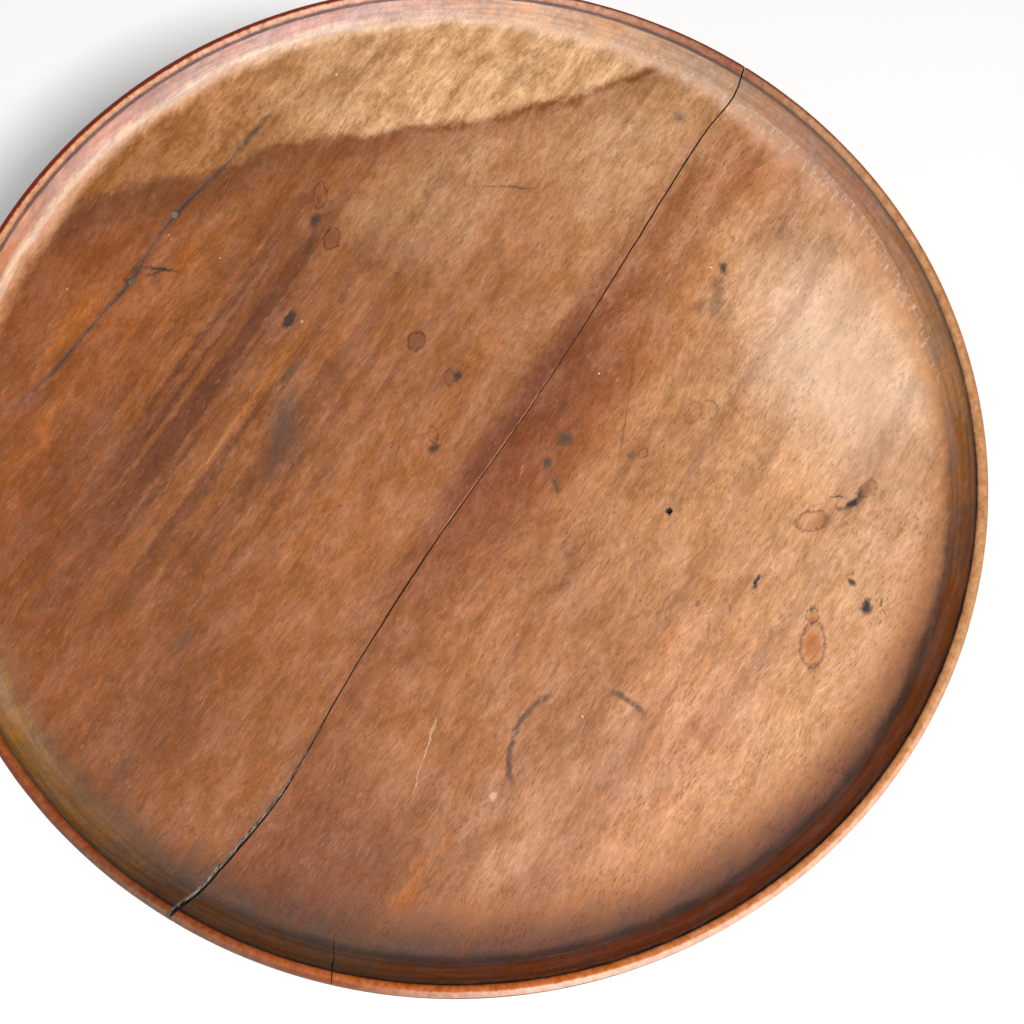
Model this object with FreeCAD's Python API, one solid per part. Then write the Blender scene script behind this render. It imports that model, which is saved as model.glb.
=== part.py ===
import FreeCAD, Part

import math
import os

# A small round tilt-top table on a tripod base. Millimetres, +Z up, floor at zero, column on the Z axis.
# The top's grain and the tilt axis run along X. The back edge of the top lifts and the top turns to face -Y.

# Overall sizes
TABLE_HEIGHT = 700.0
TOP_DIAMETER = 520.0
FOOT_REACH = 215.0
LEG_TURNS = {"leg_back": 90.0, "leg_left": 210.0, "leg_right": 330.0}

# Clearances and the overrun of every cutter
SEAT_GAP = 0.3
SIDE_PLAY = 0.5
GLUE_LINE = 0.1
PIN_CLEARANCE = 0.06
SCREW_CLEARANCE = 0.1
OVERRUN = 8.0
SAME_POINT = 0.001

# How far a turned curve may stray from its true arc
ROUND_ERROR = 0.25

# Dished top, turned from one wide board with a moulded rim
TOP_THICKNESS = 20.0
DISH_DEPTH = 8.5
LIP_WIDTH = 5.8
QUIRK_WIDTH = 1.4
COVE_WIDTH = 7.8
COVE_HEAD_DROP = 2.2
ARRIS_RISE = 0.9
BLEND_WIDTH = 5.0
UNDERCUT_WIDTH = 9.0
UNDERCUT_HEIGHT = 10.0

# Split from edge to edge: shares of the top's radius along X and Y, and how far it has opened
SPLIT_WIDTH = 0.9
SPLIT_END_WIDTH = 3.2
SPLIT_LEAN = 2.6
SPLIT_SHARES = [
    (-1.040, -0.030, 1.00),
    (-0.988, -0.044, 0.90),
    (-0.839, -0.068, 0.75),
    (-0.716, -0.080, 0.45),
    (-0.613, -0.075, 0.20),
    (-0.467, -0.064, 0.05),
    (-0.292, -0.058, 0.15),
    (-0.155, -0.057, 0.10),
    (0.047, -0.062, 0.00),
    (0.205, -0.064, 0.00),
    (0.413, -0.060, 0.05),
    (0.575, -0.054, 0.10),
    (0.820, -0.047, 0.20),
    (0.946, -0.055, 0.25),
    (1.040, -0.040, 0.30),
]

# Second crack, which doesn't reach the rim: shares of the top's radius, and of its full width
CRACK_WIDTH = 0.7
CRACK_DEPTH = 3.0
CRACK_SHARES = [
    (-0.398, 0.777, 0.0),
    (-0.303, 0.742, 0.8),
    (-0.163, 0.734, 1.0),
    (-0.052, 0.725, 0.9),
    (0.026, 0.733, 0.6),
    (0.115, 0.734, 1.0),
    (0.271, 0.714, 0.7),
    (0.353, 0.710, 0.0),
]
NAIL_HEAD_RADIUS = 1.7
NAIL_HEAD_HEIGHT = 0.9
NAIL_SHANK_RADIUS = 1.0
NAIL_LENGTH = 8.5
NAIL_PLACE_SHARES = [(0.114, 0.736), (-0.048, 0.723)]

# Bearers across the grain under the top
BEARER_WIDTH = 25.0
BEARER_DEPTH = 27.0
BEARER_LENGTH = 360.0
BEARER_TAPER_LENGTH = 46.0
BEARER_TAPER_RISE = 15.0
EDGE_BREAK = 1.2

# Screws up through the bearers into the top
BEARER_SCREW_PLACES = [-150.0, -78.0, 48.0, 150.0]
BEARER_SCREW_SINK = 6.0
BEARER_SCREW_BITE_SHARE = 0.62
BEARER_SCREW_HEAD_RADIUS = 4.2
BEARER_SCREW_HEAD_HEIGHT = 2.4
BEARER_SCREW_SHANK_RADIUS = 2.1
SCREW_SLOT_WIDTH = 0.9
SCREW_SLOT_DEPTH_SHARE = 0.45

# Pivot block with its two turned pins
BLOCK_LENGTH = 100.0
BLOCK_DEPTH = 105.0
BLOCK_THICKNESS = 26.0
TRUNNION_RADIUS = 6.5
TRUNNION_INSET = 1.0

# Column: plain drum, bead, cove, urn, collar, tapering shaft, ring, flared cap and tenon
COLUMN_FOOT = 110.0
DRUM_RADIUS = 31.0
DRUM_HEIGHT = 87.0
FILLET_HEIGHT = 2.4
BASE_BEAD_RADIUS = 32.5
BASE_BEAD_HEIGHT = 7.0
BASE_COVE_HEIGHT = 12.0
BASE_COVE_RADIUS = 22.0
URN_FOOT_RADIUS = 24.0
URN_HEIGHT = 116.0
URN_SHOULDER_RADIUS = 27.5
URN_SHOULDER_SHARE = 0.57
URN_BELLY_SHARE = 0.18
URN_HOLLOW_SHARE = 0.10
NECK_RADIUS = 15.5
COLLAR_RADIUS = 21.5
COLLAR_HEIGHT = 9.0
SHAFT_FOOT_RADIUS = 19.0
SHAFT_SWELL_RADIUS = 18.2
SHAFT_SWELL_SHARE = 0.36
SHAFT_HEAD_RADIUS = 15.0
RING_RADIUS = 18.5
RING_HEIGHT = 6.0
CAP_NECK_RADIUS = 15.5
CAP_FLARE_HEIGHT = 32.0
CAP_FLARE_RADIUS = 29.0
CAP_RADIUS = 32.0
CAP_EDGE_HEIGHT = 6.0
TENON_RADIUS = 14.0

# Wedge across the tenon
WEDGE_THICKNESS = 3.2
WEDGE_TIP = 0.9
WEDGE_LENGTH = 19.0

# Cabriole legs: stations from the column to the foot, as shares of the leg's reach beyond the drum,
# of the leg's top height (upper line) and of the column's foot height (lower line), and of its width
LEG_WIDTH = 34.0
LEG_JOINT_HEIGHT = 84.0
LEG_SECTION_SIDES = 18
LEG_UPPER_SHARES = [
    (-0.075, 1.0015),
    (0.012, 1.001),
    (0.117, 0.991),
    (0.235, 0.951),
    (0.346, 0.881),
    (0.448, 0.786),
    (0.534, 0.673),
    (0.611, 0.552),
    (0.685, 0.430),
    (0.756, 0.320),
    (0.833, 0.227),
    (0.920, 0.157),
    (1.006, 0.113),
]
LEG_LOWER_SHARES = [
    (-0.075, 0.991),
    (0.012, 0.991),
    (0.117, 0.991),
    (0.204, 0.986),
    (0.293, 0.927),
    (0.380, 0.823),
    (0.460, 0.700),
    (0.534, 0.564),
    (0.608, 0.427),
    (0.688, 0.300),
    (0.775, 0.205),
    (0.864, 0.132),
    (0.957, 0.073),
]
LEG_WIDTH_SHARES = [1.0, 1.0, 1.0, 0.985, 0.941, 0.882, 0.824, 0.765, 0.718, 0.676, 0.647, 0.647, 0.706]
LEG_SQUARENESS = [3.4, 3.4, 3.2, 3.0, 2.9, 2.7, 2.5, 2.4, 2.3, 2.2, 2.2, 2.2, 2.2]
LEG_SEAT_SHARE = 0.167

# Pad feet
PAD_RADIUS = 22.0
PAD_HEIGHT = 19.0
PAD_WIDEST_SHARE = 0.5
PAD_DISC_RADIUS = 17.0
PAD_DISC_HEIGHT = 2.6
PAD_CROWN_RADIUS = 9.0

# Sliding dovetails of the legs
TONGUE_LENGTH = 15.0
TONGUE_HEIGHT = 78.0
TONGUE_NECK_HALF_WIDTH = 6.5
TONGUE_END_HALF_WIDTH = 9.5

# Iron bracket under the leg joints
BRACKET_THICKNESS = 2.5
BRACKET_ARM_WIDTH = 15.0
BRACKET_REACH = 53.0
BRACKET_HUB_RADIUS = 21.0
BRACKET_NAIL_PLACES = [23.0, 44.0]
BRACKET_NAIL_HEAD_RADIUS = 3.4
BRACKET_NAIL_HEAD_HEIGHT = 1.5
BRACKET_NAIL_SHANK_RADIUS = 1.5
BRACKET_NAIL_LENGTH = 20.0

# Snap catch under the top, behind the block
CATCH_SETBACK = 5.0
CATCH_PLATE_WIDTH = 40.0
CATCH_PLATE_LENGTH = 58.0
CATCH_PLATE_THICKNESS = 2.0
CATCH_PLATE_CORNER = 5.0
CATCH_CASE_WIDTH = 15.0
CATCH_CASE_LENGTH = 44.0
CATCH_CASE_HEIGHT = 11.6
CATCH_CASE_WALL = 2.2
BOLT_TRAVEL = 7.0
BOLT_THROW = 6.0
BOLT_BODY_LENGTH = 26.0
BOLT_BEVEL = 4.0
BOLT_SLIDE_GAP = 0.2
KNOB_STEM_RADIUS = 2.2
KNOB_STEM_DROP = 9.0
KNOB_COLLAR_RADIUS = 4.4
KNOB_COLLAR_HEIGHT = 2.0
KNOB_RADIUS = 7.5
KNOB_HEIGHT = 11.0
KNOB_PLACE_SHARE = 0.45
KNOB_SOCKET_DEPTH = 4.0
SPRING_RADIUS = 2.3
SPRING_WIRE = 0.7
SPRING_TURNS = 6
CATCH_SCREW_INSET = 5.0
CATCH_SCREW_HEAD_RADIUS = 2.8
CATCH_SCREW_HEAD_HEIGHT = 1.6
CATCH_SCREW_SHANK_RADIUS = 1.4
CATCH_SCREW_BITE_SHARE = 0.7

# Keeper plate let into the block's back edge
KEEPER_WIDTH = 34.0
KEEPER_HEIGHT = 18.0
KEEPER_THICKNESS = 1.8
KEEPER_PLAY = 0.6
KEEPER_SCREW_SPREAD = 11.5
KEEPER_SCREW_LENGTH = 12.0
KEEPER_SCREW_HEAD_RADIUS = 2.5
KEEPER_SCREW_HEAD_HEIGHT = 1.4
KEEPER_SCREW_SHANK_RADIUS = 1.2

# Sagitta over chord of a half round, of a quarter round, of a deep hollow and of a shallow one
HALF_ROUND_SHARE = 0.5
QUARTER_ROUND_SHARE = 0.207
DEEP_HOLLOW_SHARE = 0.24
HOLLOW_SHARE = 0.12

# Heights and places that follow from the sizes
TOP_RADIUS = TOP_DIAMETER / 2
UNDERSIDE = TABLE_HEIGHT - TOP_THICKNESS
DISH_FLOOR = TABLE_HEIGHT - DISH_DEPTH
BOARD_THICKNESS = DISH_FLOOR - UNDERSIDE
BLOCK_TOP = UNDERSIDE - SEAT_GAP
BLOCK_BOTTOM = BLOCK_TOP - BLOCK_THICKNESS
NOSE_RADIUS = BLOCK_THICKNESS / 2
PIVOT_Y = NOSE_RADIUS - BLOCK_DEPTH / 2
PIVOT_Z = BLOCK_TOP - NOSE_RADIUS
BLOCK_BACK = BLOCK_DEPTH / 2
BEARER_INNER = BLOCK_LENGTH / 2 + SIDE_PLAY
BEARER_MIDDLE = BEARER_INNER + BEARER_WIDTH / 2
BEARER_BOTTOM = UNDERSIDE - BEARER_DEPTH
LEG_TOP = COLUMN_FOOT + LEG_JOINT_HEIGHT
PAD_CENTRE = FOOT_REACH - PAD_RADIUS
LEG_SPAN = PAD_CENTRE - DRUM_RADIUS
PLATE_BOTTOM = UNDERSIDE - CATCH_PLATE_THICKNESS
CASE_BOTTOM = PLATE_BOTTOM - CATCH_CASE_HEIGHT
CASE_FRONT = BLOCK_BACK + CATCH_SETBACK
CASE_BACK = CASE_FRONT + CATCH_CASE_LENGTH
BOLT_HALF_WIDTH = CATCH_CASE_WIDTH / 2 - CATCH_CASE_WALL - BOLT_SLIDE_GAP
BOLT_BOTTOM = CASE_BOTTOM + CATCH_CASE_WALL + BOLT_SLIDE_GAP
BOLT_TOP = PLATE_BOTTOM - CATCH_CASE_WALL - BOLT_SLIDE_GAP
BOLT_TIP = BLOCK_BACK - BOLT_THROW
BOLT_TAIL = CASE_FRONT + BOLT_BODY_LENGTH
KNOB_Y = CASE_FRONT + BOLT_BODY_LENGTH * KNOB_PLACE_SHARE
KEEPER_TOP = BLOCK_TOP


def point(x, y, z):
    return FreeCAD.Vector(x, y, z)


def line(start, end):
    return Part.LineSegment(start, end).toShape()


def bulged(start, end, share):
    """Points after start of an arc in the XZ plane that bulges to the right of its path by a share of its chord."""
    chord = end - start
    right = point(chord.z, 0, -chord.x)
    half = 2 * math.atan(2 * abs(share))
    radius = chord.Length / (2 * math.sin(half))
    steps = 2 * math.ceil(half / math.acos(1 - ROUND_ERROR / radius) / 2) if radius > ROUND_ERROR else 2
    points = []
    for step in range(1, steps):
        angle = half * (2 * step / steps - 1)
        along = (1 + math.sin(angle) / math.sin(half)) / 2
        out = (math.cos(angle) - math.cos(half)) / (2 * math.sin(half))
        points.append(start + chord * along + right * math.copysign(out, share))
    return points + [end]


def curve(points):
    """Smooth curve through the points."""
    spline = Part.BSplineCurve()
    spline.interpolate(points)
    return spline.toShape()


def turned(outline, x=0, y=0):
    """Solid turned about an upright axis from a closed outline in the XZ plane."""
    kept = [b for a, b in zip(outline[-1:] + outline, outline) if a.distanceToPoint(b) > SAME_POINT]
    profile = Part.Face(Part.makePolygon(kept + kept[:1]))
    solid = profile.revolve(point(0, 0, 0), point(0, 0, 1), 360)
    solid.translate(point(x, y, 0))
    return solid


def block(low, high):
    size = high - low
    return Part.makeBox(size.x, size.y, size.z, low)


def rod(radius, start, end):
    along = end - start
    return Part.makeCylinder(radius, along.Length, start, along)


def prism(points, travel):
    """Solid swept straight from a flat outline."""
    return Part.Face(Part.makePolygon(points + points[:1])).extrude(travel)


def fused(shapes):
    """One clean solid out of touching or crossing ones."""
    return shapes[0].multiFuse(shapes[1:]).removeSplitter()


def aimed(shape, place, direction):
    """Moves a shape modelled up the Z axis so that it starts at a place and points along a direction."""
    turn = FreeCAD.Rotation(point(0, 0, 1), direction)
    shape.Placement = FreeCAD.Placement(place, turn)
    return shape


def screw(place, direction, length, head_radius, head_height, shank_radius, extra=0.0):
    """Countersunk slotted wood screw, or with extra above zero the hole that clears it."""
    head = head_radius + extra
    shank = shank_radius + extra
    end = length + extra
    mouth = -OVERRUN if extra else 0
    shape = turned([
        point(0, 0, mouth),
        point(head, 0, mouth),
        point(head, 0, 0),
        point(shank, 0, head_height),
        point(shank, 0, end),
        point(0, 0, end),
    ])
    if not extra:
        half = SCREW_SLOT_WIDTH / 2
        shape = shape.cut(block(point(-head, -half, 0), point(head, half, head_height * SCREW_SLOT_DEPTH_SHARE)))
    return aimed(shape, place, direction)


def domed_nail(place, direction, length, head_radius, head_height, shank_radius, extra=0.0):
    """Nail whose low domed head stands proud of what it is driven into, or the hole for its shank."""
    shank = shank_radius + extra
    end = length + extra
    outline = [point(shank, 0, end), point(0, 0, end)]
    if extra:
        outline += [point(0, 0, -OVERRUN), point(shank, 0, -OVERRUN)]
    else:
        crown = point(0, 0, -head_height)
        outline += [crown] + bulged(crown, point(head_radius, 0, 0), QUARTER_ROUND_SHARE / 2)
        outline.append(point(shank, 0, 0))
    return aimed(turned(outline), place, direction)


def rim_profile():
    """Half section of the top: dish, blend, arris, cove, quirk, half-round lip and undercut edge."""
    lip_radius = LIP_WIDTH / 2
    spring = TABLE_HEIGHT - lip_radius
    lip_inner = TOP_RADIUS - LIP_WIDTH
    cove_head = lip_inner - QUIRK_WIDTH
    arris = cove_head - COVE_WIDTH
    blend_start = arris - BLEND_WIDTH
    head_height = TABLE_HEIGHT - COVE_HEAD_DROP
    undercut_top = UNDERSIDE + UNDERCUT_HEIGHT
    under = point(TOP_RADIUS - UNDERCUT_WIDTH, 0, UNDERSIDE)
    side = point(TOP_RADIUS, 0, undercut_top)
    lip_outer = point(TOP_RADIUS, 0, spring)
    lip_foot = point(lip_inner, 0, spring)
    head = point(cove_head, 0, head_height)
    foot = point(arris, 0, DISH_FLOOR + ARRIS_RISE)
    outline = [point(0, 0, UNDERSIDE), under]
    outline += bulged(under, side, QUARTER_ROUND_SHARE)
    outline += [lip_outer] + bulged(lip_outer, lip_foot, HALF_ROUND_SHARE)
    outline += [point(cove_head, 0, spring), head]
    outline += bulged(head, foot, -HOLLOW_SHARE)
    outline += bulged(foot, point(blend_start, 0, DISH_FLOOR), -HOLLOW_SHARE / 2)
    return outline + [point(0, 0, DISH_FLOOR)]


def split_side(side):
    """The top's space on one side of the leaning split: side is +1 behind it and -1 in front of it."""
    base = UNDERSIDE - OVERRUN
    height = TOP_THICKNESS + OVERRUN + OVERRUN
    lean = SPLIT_LEAN / TOP_THICKNESS
    shift = lean * (DISH_FLOOR - base)
    edge = []
    for along, across, opened in SPLIT_SHARES:
        gap = SPLIT_WIDTH + (SPLIT_END_WIDTH - SPLIT_WIDTH) * opened
        edge.append(point(TOP_RADIUS * along, TOP_RADIUS * across + side * gap / 2 - shift, base))
    far = side * (TOP_RADIUS + OVERRUN)
    left = point(edge[0].x, far, base)
    right = point(edge[-1].x, far, base)
    outline = [curve(edge), line(edge[-1], right), line(right, left), line(left, edge[0])]
    return Part.Face(Part.Wire(outline)).extrude(point(0, lean * height, height))


def season_crack():
    """Thin slit in the dish floor that closes to nothing at both ends."""
    front = []
    back = []
    for along, across, opened in CRACK_SHARES:
        half = CRACK_WIDTH * opened / 2
        front.append(point(TOP_RADIUS * along, TOP_RADIUS * across - half, DISH_FLOOR - CRACK_DEPTH))
        back.append(point(TOP_RADIUS * along, TOP_RADIUS * across + half, DISH_FLOOR - CRACK_DEPTH))
    outline = Part.Face(Part.Wire([curve(front), curve(back)]))
    return outline.extrude(point(0, 0, CRACK_DEPTH + OVERRUN))


def repair_nails(extra=0.0):
    """Two flat-headed nails set flush in the second crack."""
    down = point(0, 0, -1)
    size = (NAIL_LENGTH, NAIL_HEAD_RADIUS, NAIL_HEAD_HEIGHT, NAIL_SHANK_RADIUS, extra)
    places = [point(TOP_RADIUS * x, TOP_RADIUS * y, DISH_FLOOR) for x, y in NAIL_PLACE_SHARES]
    return [plain_nail(place, down, *size) for place in places]


def plain_nail(place, direction, length, head_radius, head_height, shank_radius, extra=0.0):
    """Flat-headed nail, or its hole."""
    head = rod(head_radius + extra, point(0, 0, -extra), point(0, 0, head_height))
    shank = rod(shank_radius + extra, point(0, 0, 0), point(0, 0, length + extra))
    return aimed(fused([head, shank]), place, direction)


def bearer_screws(extra=0.0):
    """Screws up through both bearers, their heads sunk in the wood."""
    start = BEARER_BOTTOM + BEARER_SCREW_SINK
    length = UNDERSIDE - start + BOARD_THICKNESS * BEARER_SCREW_BITE_SHARE
    screws = []
    for x in (-BEARER_MIDDLE, BEARER_MIDDLE):
        for y in BEARER_SCREW_PLACES:
            size = (length, BEARER_SCREW_HEAD_RADIUS, BEARER_SCREW_HEAD_HEIGHT, BEARER_SCREW_SHANK_RADIUS)
            screws.append(screw(point(x, y, start), point(0, 0, 1), *size, extra))
    return screws


def catch_screws(extra=0.0):
    """Screws at the corners of the catch plate."""
    x = CATCH_PLATE_WIDTH / 2 - CATCH_SCREW_INSET
    length = CATCH_PLATE_THICKNESS + BOARD_THICKNESS * CATCH_SCREW_BITE_SHARE
    size = (length, CATCH_SCREW_HEAD_RADIUS, CATCH_SCREW_HEAD_HEIGHT, CATCH_SCREW_SHANK_RADIUS)
    ends = (plate_front() + CATCH_SCREW_INSET, plate_front() + CATCH_PLATE_LENGTH - CATCH_SCREW_INSET)
    places = [point(side * x, y, PLATE_BOTTOM) for side in (-1, 1) for y in ends]
    return [screw(place, point(0, 0, 1), *size, extra) for place in places]


def keeper_screws(extra=0.0):
    """Screws through the keeper plate into the block's back edge."""
    size = (KEEPER_SCREW_HEAD_RADIUS, KEEPER_SCREW_HEAD_HEIGHT, KEEPER_SCREW_SHANK_RADIUS)
    places = [point(side * KEEPER_SCREW_SPREAD, BLOCK_BACK, KEEPER_TOP - KEEPER_HEIGHT / 2) for side in (-1, 1)]
    return [screw(place, point(0, -1, 0), KEEPER_SCREW_LENGTH, *size, extra) for place in places]


def bracket_nails(extra=0.0):
    """Nails through the bracket: one into the column and two along each arm."""
    radii = [(0.0, 0.0)]
    radii += [(radius, turn) for turn in LEG_TURNS.values() for radius in BRACKET_NAIL_PLACES]
    size = (BRACKET_NAIL_LENGTH, BRACKET_NAIL_HEAD_RADIUS, BRACKET_NAIL_HEAD_HEIGHT, BRACKET_NAIL_SHANK_RADIUS)
    nails = []
    for radius, turn in radii:
        angle = math.radians(turn)
        place = point(radius * math.cos(angle), radius * math.sin(angle), COLUMN_FOOT - BRACKET_THICKNESS)
        nails.append(domed_nail(place, point(0, 0, 1), *size, extra))
    return nails


def top_boards():
    """The two pieces of the split top."""
    disc = turned(rim_profile())
    holes = bearer_screws(SCREW_CLEARANCE) + catch_screws(SCREW_CLEARANCE)
    front = disc.common(split_side(-1)).cut(holes)
    back = disc.common(split_side(1)).cut(holes)
    back = back.cut([season_crack()] + repair_nails(SCREW_CLEARANCE))
    return front, back


def bearer(side):
    """Bearer with tapered ends and a bore for the block's pin."""
    low = BEARER_BOTTOM
    half = BEARER_LENGTH / 2
    inner = side * BEARER_INNER
    outline = [
        point(inner, -half, UNDERSIDE),
        point(inner, -half, low + BEARER_TAPER_RISE),
        point(inner, BEARER_TAPER_LENGTH - half, low),
        point(inner, half - BEARER_TAPER_LENGTH, low),
        point(inner, half, low + BEARER_TAPER_RISE),
        point(inner, half, UNDERSIDE),
    ]
    solid = prism(outline, point(side * BEARER_WIDTH, 0, 0))
    below = [edge for edge in solid.Edges if edge.BoundBox.ZMin < UNDERSIDE - EDGE_BREAK]
    long_edges = [edge for edge in below if edge.BoundBox.XLength < EDGE_BREAK and edge.BoundBox.YLength > EDGE_BREAK]
    solid = solid.makeChamfer(EDGE_BREAK, long_edges)
    reach = side * (BEARER_INNER + BEARER_WIDTH + OVERRUN)
    bore = rod(TRUNNION_RADIUS + PIN_CLEARANCE, point(0, PIVOT_Y, PIVOT_Z), point(reach, PIVOT_Y, PIVOT_Z))
    return solid.cut([bore] + bearer_screws(SCREW_CLEARANCE))


def keeper_opening(play):
    """Space of the keeper's hole and the mortise behind it."""
    half = BOLT_HALF_WIDTH + play
    low = point(-half, BOLT_TIP - play - play, BOLT_BOTTOM - play)
    high = point(half, BLOCK_BACK + OVERRUN, BOLT_TOP + play)
    return block(low, high)


def keeper_plate():
    """Brass plate around the mortise, flush with the block's back edge."""
    half = KEEPER_WIDTH / 2
    low = point(-half, BLOCK_BACK - KEEPER_THICKNESS, KEEPER_TOP - KEEPER_HEIGHT)
    plate = block(low, point(half, BLOCK_BACK, KEEPER_TOP))
    return plate.cut([keeper_opening(KEEPER_PLAY)] + keeper_screws(SCREW_CLEARANCE))


def pivot_block():
    """Block on the column, with a rounded upper front edge that lets the top swing past, and a pin at each end."""
    half = BLOCK_LENGTH / 2
    front = -BLOCK_DEPTH / 2
    a = point(-half, BLOCK_BACK, BLOCK_BOTTOM)
    b = point(-half, front, BLOCK_BOTTOM)
    c = point(-half, front, PIVOT_Z)
    d = point(-half, PIVOT_Y, BLOCK_TOP)
    e = point(-half, BLOCK_BACK, BLOCK_TOP)
    diagonal = NOSE_RADIUS * math.sqrt(0.5)
    nose = point(-half, PIVOT_Y - diagonal, PIVOT_Z + diagonal)
    edges = [line(a, b), line(b, c), Part.Arc(c, nose, d).toShape(), line(d, e), line(e, a)]
    solid = Part.Face(Part.Wire(edges)).extrude(point(BLOCK_LENGTH, 0, 0))
    reach = BEARER_INNER + BEARER_WIDTH - TRUNNION_INSET
    pins = rod(TRUNNION_RADIUS, point(-reach, PIVOT_Y, PIVOT_Z), point(reach, PIVOT_Y, PIVOT_Z))
    solid = fused([solid, pins])
    tenon = rod(TENON_RADIUS + GLUE_LINE, point(0, 0, BLOCK_BOTTOM - OVERRUN), point(0, 0, BLOCK_TOP + OVERRUN))
    wide = KEEPER_WIDTH / 2 + GLUE_LINE
    low = point(-wide, BLOCK_BACK - KEEPER_THICKNESS, KEEPER_TOP - KEEPER_HEIGHT - GLUE_LINE)
    recess = block(low, point(wide, BLOCK_BACK + OVERRUN, KEEPER_TOP + OVERRUN))
    return solid.cut([tenon, recess, keeper_opening(KEEPER_PLAY)] + keeper_screws(SCREW_CLEARANCE))


def tenon_wedge():
    """Wedge across the tenon, rounded to it at both ends."""
    thick = WEDGE_THICKNESS / 2
    tip = WEDGE_TIP / 2
    low = BLOCK_TOP - WEDGE_LENGTH
    outline = [
        point(-thick, -TENON_RADIUS, BLOCK_TOP),
        point(thick, -TENON_RADIUS, BLOCK_TOP),
        point(tip, -TENON_RADIUS, low),
        point(-tip, -TENON_RADIUS, low),
    ]
    wedge = prism(outline, point(0, TENON_RADIUS + TENON_RADIUS, 0))
    return wedge.common(rod(TENON_RADIUS, point(0, 0, low), point(0, 0, BLOCK_TOP)))


def column_profile():
    """Half section of the turned column, from its foot up to the tenon."""
    outline = [point(0, 0, COLUMN_FOOT)]

    def to(radius, rise=0.0, share=0.0):
        """Next member of the turning: straight, or bulging out by a share of its chord."""
        end = point(radius, 0, outline[-1].z + rise)
        outline.extend(bulged(outline[-1], end, share) if share else [end])

    to(DRUM_RADIUS)
    to(DRUM_RADIUS, DRUM_HEIGHT)
    to(BASE_BEAD_RADIUS - BASE_BEAD_HEIGHT / 2)
    to(BASE_BEAD_RADIUS - BASE_BEAD_HEIGHT / 2, BASE_BEAD_HEIGHT, HALF_ROUND_SHARE)
    to(BASE_COVE_RADIUS, BASE_COVE_HEIGHT, -DEEP_HOLLOW_SHARE)
    to(BASE_COVE_RADIUS, FILLET_HEIGHT)
    to(URN_FOOT_RADIUS)
    to(URN_SHOULDER_RADIUS, URN_HEIGHT * URN_SHOULDER_SHARE, URN_BELLY_SHARE)
    to(NECK_RADIUS, URN_HEIGHT * (1 - URN_SHOULDER_SHARE), -URN_HOLLOW_SHARE)
    to(COLLAR_RADIUS - COLLAR_HEIGHT / 2)
    to(COLLAR_RADIUS - COLLAR_HEIGHT / 2, COLLAR_HEIGHT, HALF_ROUND_SHARE)
    to(SHAFT_FOOT_RADIUS)
    to(SHAFT_FOOT_RADIUS, FILLET_HEIGHT)
    cap_rise = FILLET_HEIGHT + CAP_FLARE_HEIGHT + CAP_EDGE_HEIGHT
    shaft = BLOCK_BOTTOM - cap_rise - RING_HEIGHT - outline[-1].z
    to(SHAFT_SWELL_RADIUS, shaft * SHAFT_SWELL_SHARE)
    to(SHAFT_HEAD_RADIUS, shaft * (1 - SHAFT_SWELL_SHARE))
    to(RING_RADIUS - RING_HEIGHT / 2)
    to(RING_RADIUS - RING_HEIGHT / 2, RING_HEIGHT, HALF_ROUND_SHARE)
    to(CAP_NECK_RADIUS)
    to(CAP_NECK_RADIUS, FILLET_HEIGHT)
    to(CAP_FLARE_RADIUS, CAP_FLARE_HEIGHT, -HOLLOW_SHARE)
    to(CAP_RADIUS)
    to(CAP_RADIUS, CAP_EDGE_HEIGHT, QUARTER_ROUND_SHARE)
    to(TENON_RADIUS)
    to(TENON_RADIUS, BLOCK_THICKNESS)
    to(0)
    return outline


def dovetail(extra=0.0):
    """Tongue of a leg that reaches along +X, or with extra above zero its socket in the column."""
    end = DRUM_RADIUS - TONGUE_LENGTH - extra
    root = DRUM_RADIUS + TONGUE_LENGTH
    low = COLUMN_FOOT - (OVERRUN if extra else 0)
    height = COLUMN_FOOT + TONGUE_HEIGHT + extra - low
    neck = TONGUE_NECK_HALF_WIDTH + extra
    wide = TONGUE_END_HALF_WIDTH + extra
    outline = [
        point(end, -wide, low),
        point(DRUM_RADIUS, -neck, low),
        point(root, -neck, low),
        point(root, neck, low),
        point(DRUM_RADIUS, neck, low),
        point(end, wide, low),
    ]
    return prism(outline, point(0, 0, height))


def turned_to_leg(shape, turn):
    shape.rotate(point(0, 0, 0), point(0, 0, 1), turn)
    return shape


def column():
    """Turned column with a socket for each leg and a wedge slot in its tenon."""
    sockets = [turned_to_leg(dovetail(GLUE_LINE), turn) for turn in LEG_TURNS.values()]
    return turned(column_profile()).cut(sockets + [tenon_wedge()] + bracket_nails(SCREW_CLEARANCE))


def leg_section(upper, lower, half_width, squareness):
    """Rounded section of many short sides between a point of the leg's upper line and one of its lower line."""
    centre = (upper + lower) * 0.5
    radius = (upper - lower) * 0.5
    points = []
    for step in range(LEG_SECTION_SIDES):
        angle = 2 * math.pi * step / LEG_SECTION_SIDES
        up = math.copysign(abs(math.cos(angle)) ** (2 / squareness), math.cos(angle))
        out = math.copysign(abs(math.sin(angle)) ** (2 / squareness), math.sin(angle))
        points.append(centre + radius * up + point(0, half_width * out, 0))
    return Part.makePolygon(points + points[:1])


def leg_body():
    """Cabriole sweep from inside the drum to inside the pad foot, along +X."""
    sections = []
    rows = zip(LEG_UPPER_SHARES, LEG_LOWER_SHARES, LEG_WIDTH_SHARES, LEG_SQUARENESS)
    for upper, lower, width, squareness in rows:
        high = point(DRUM_RADIUS + LEG_SPAN * upper[0], 0, LEG_TOP * upper[1])
        low = point(DRUM_RADIUS + LEG_SPAN * lower[0], 0, COLUMN_FOOT * lower[1])
        sections.append(leg_section(high, low, LEG_WIDTH * width / 2, squareness))
    return Part.makeLoft(sections, True, True)


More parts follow.
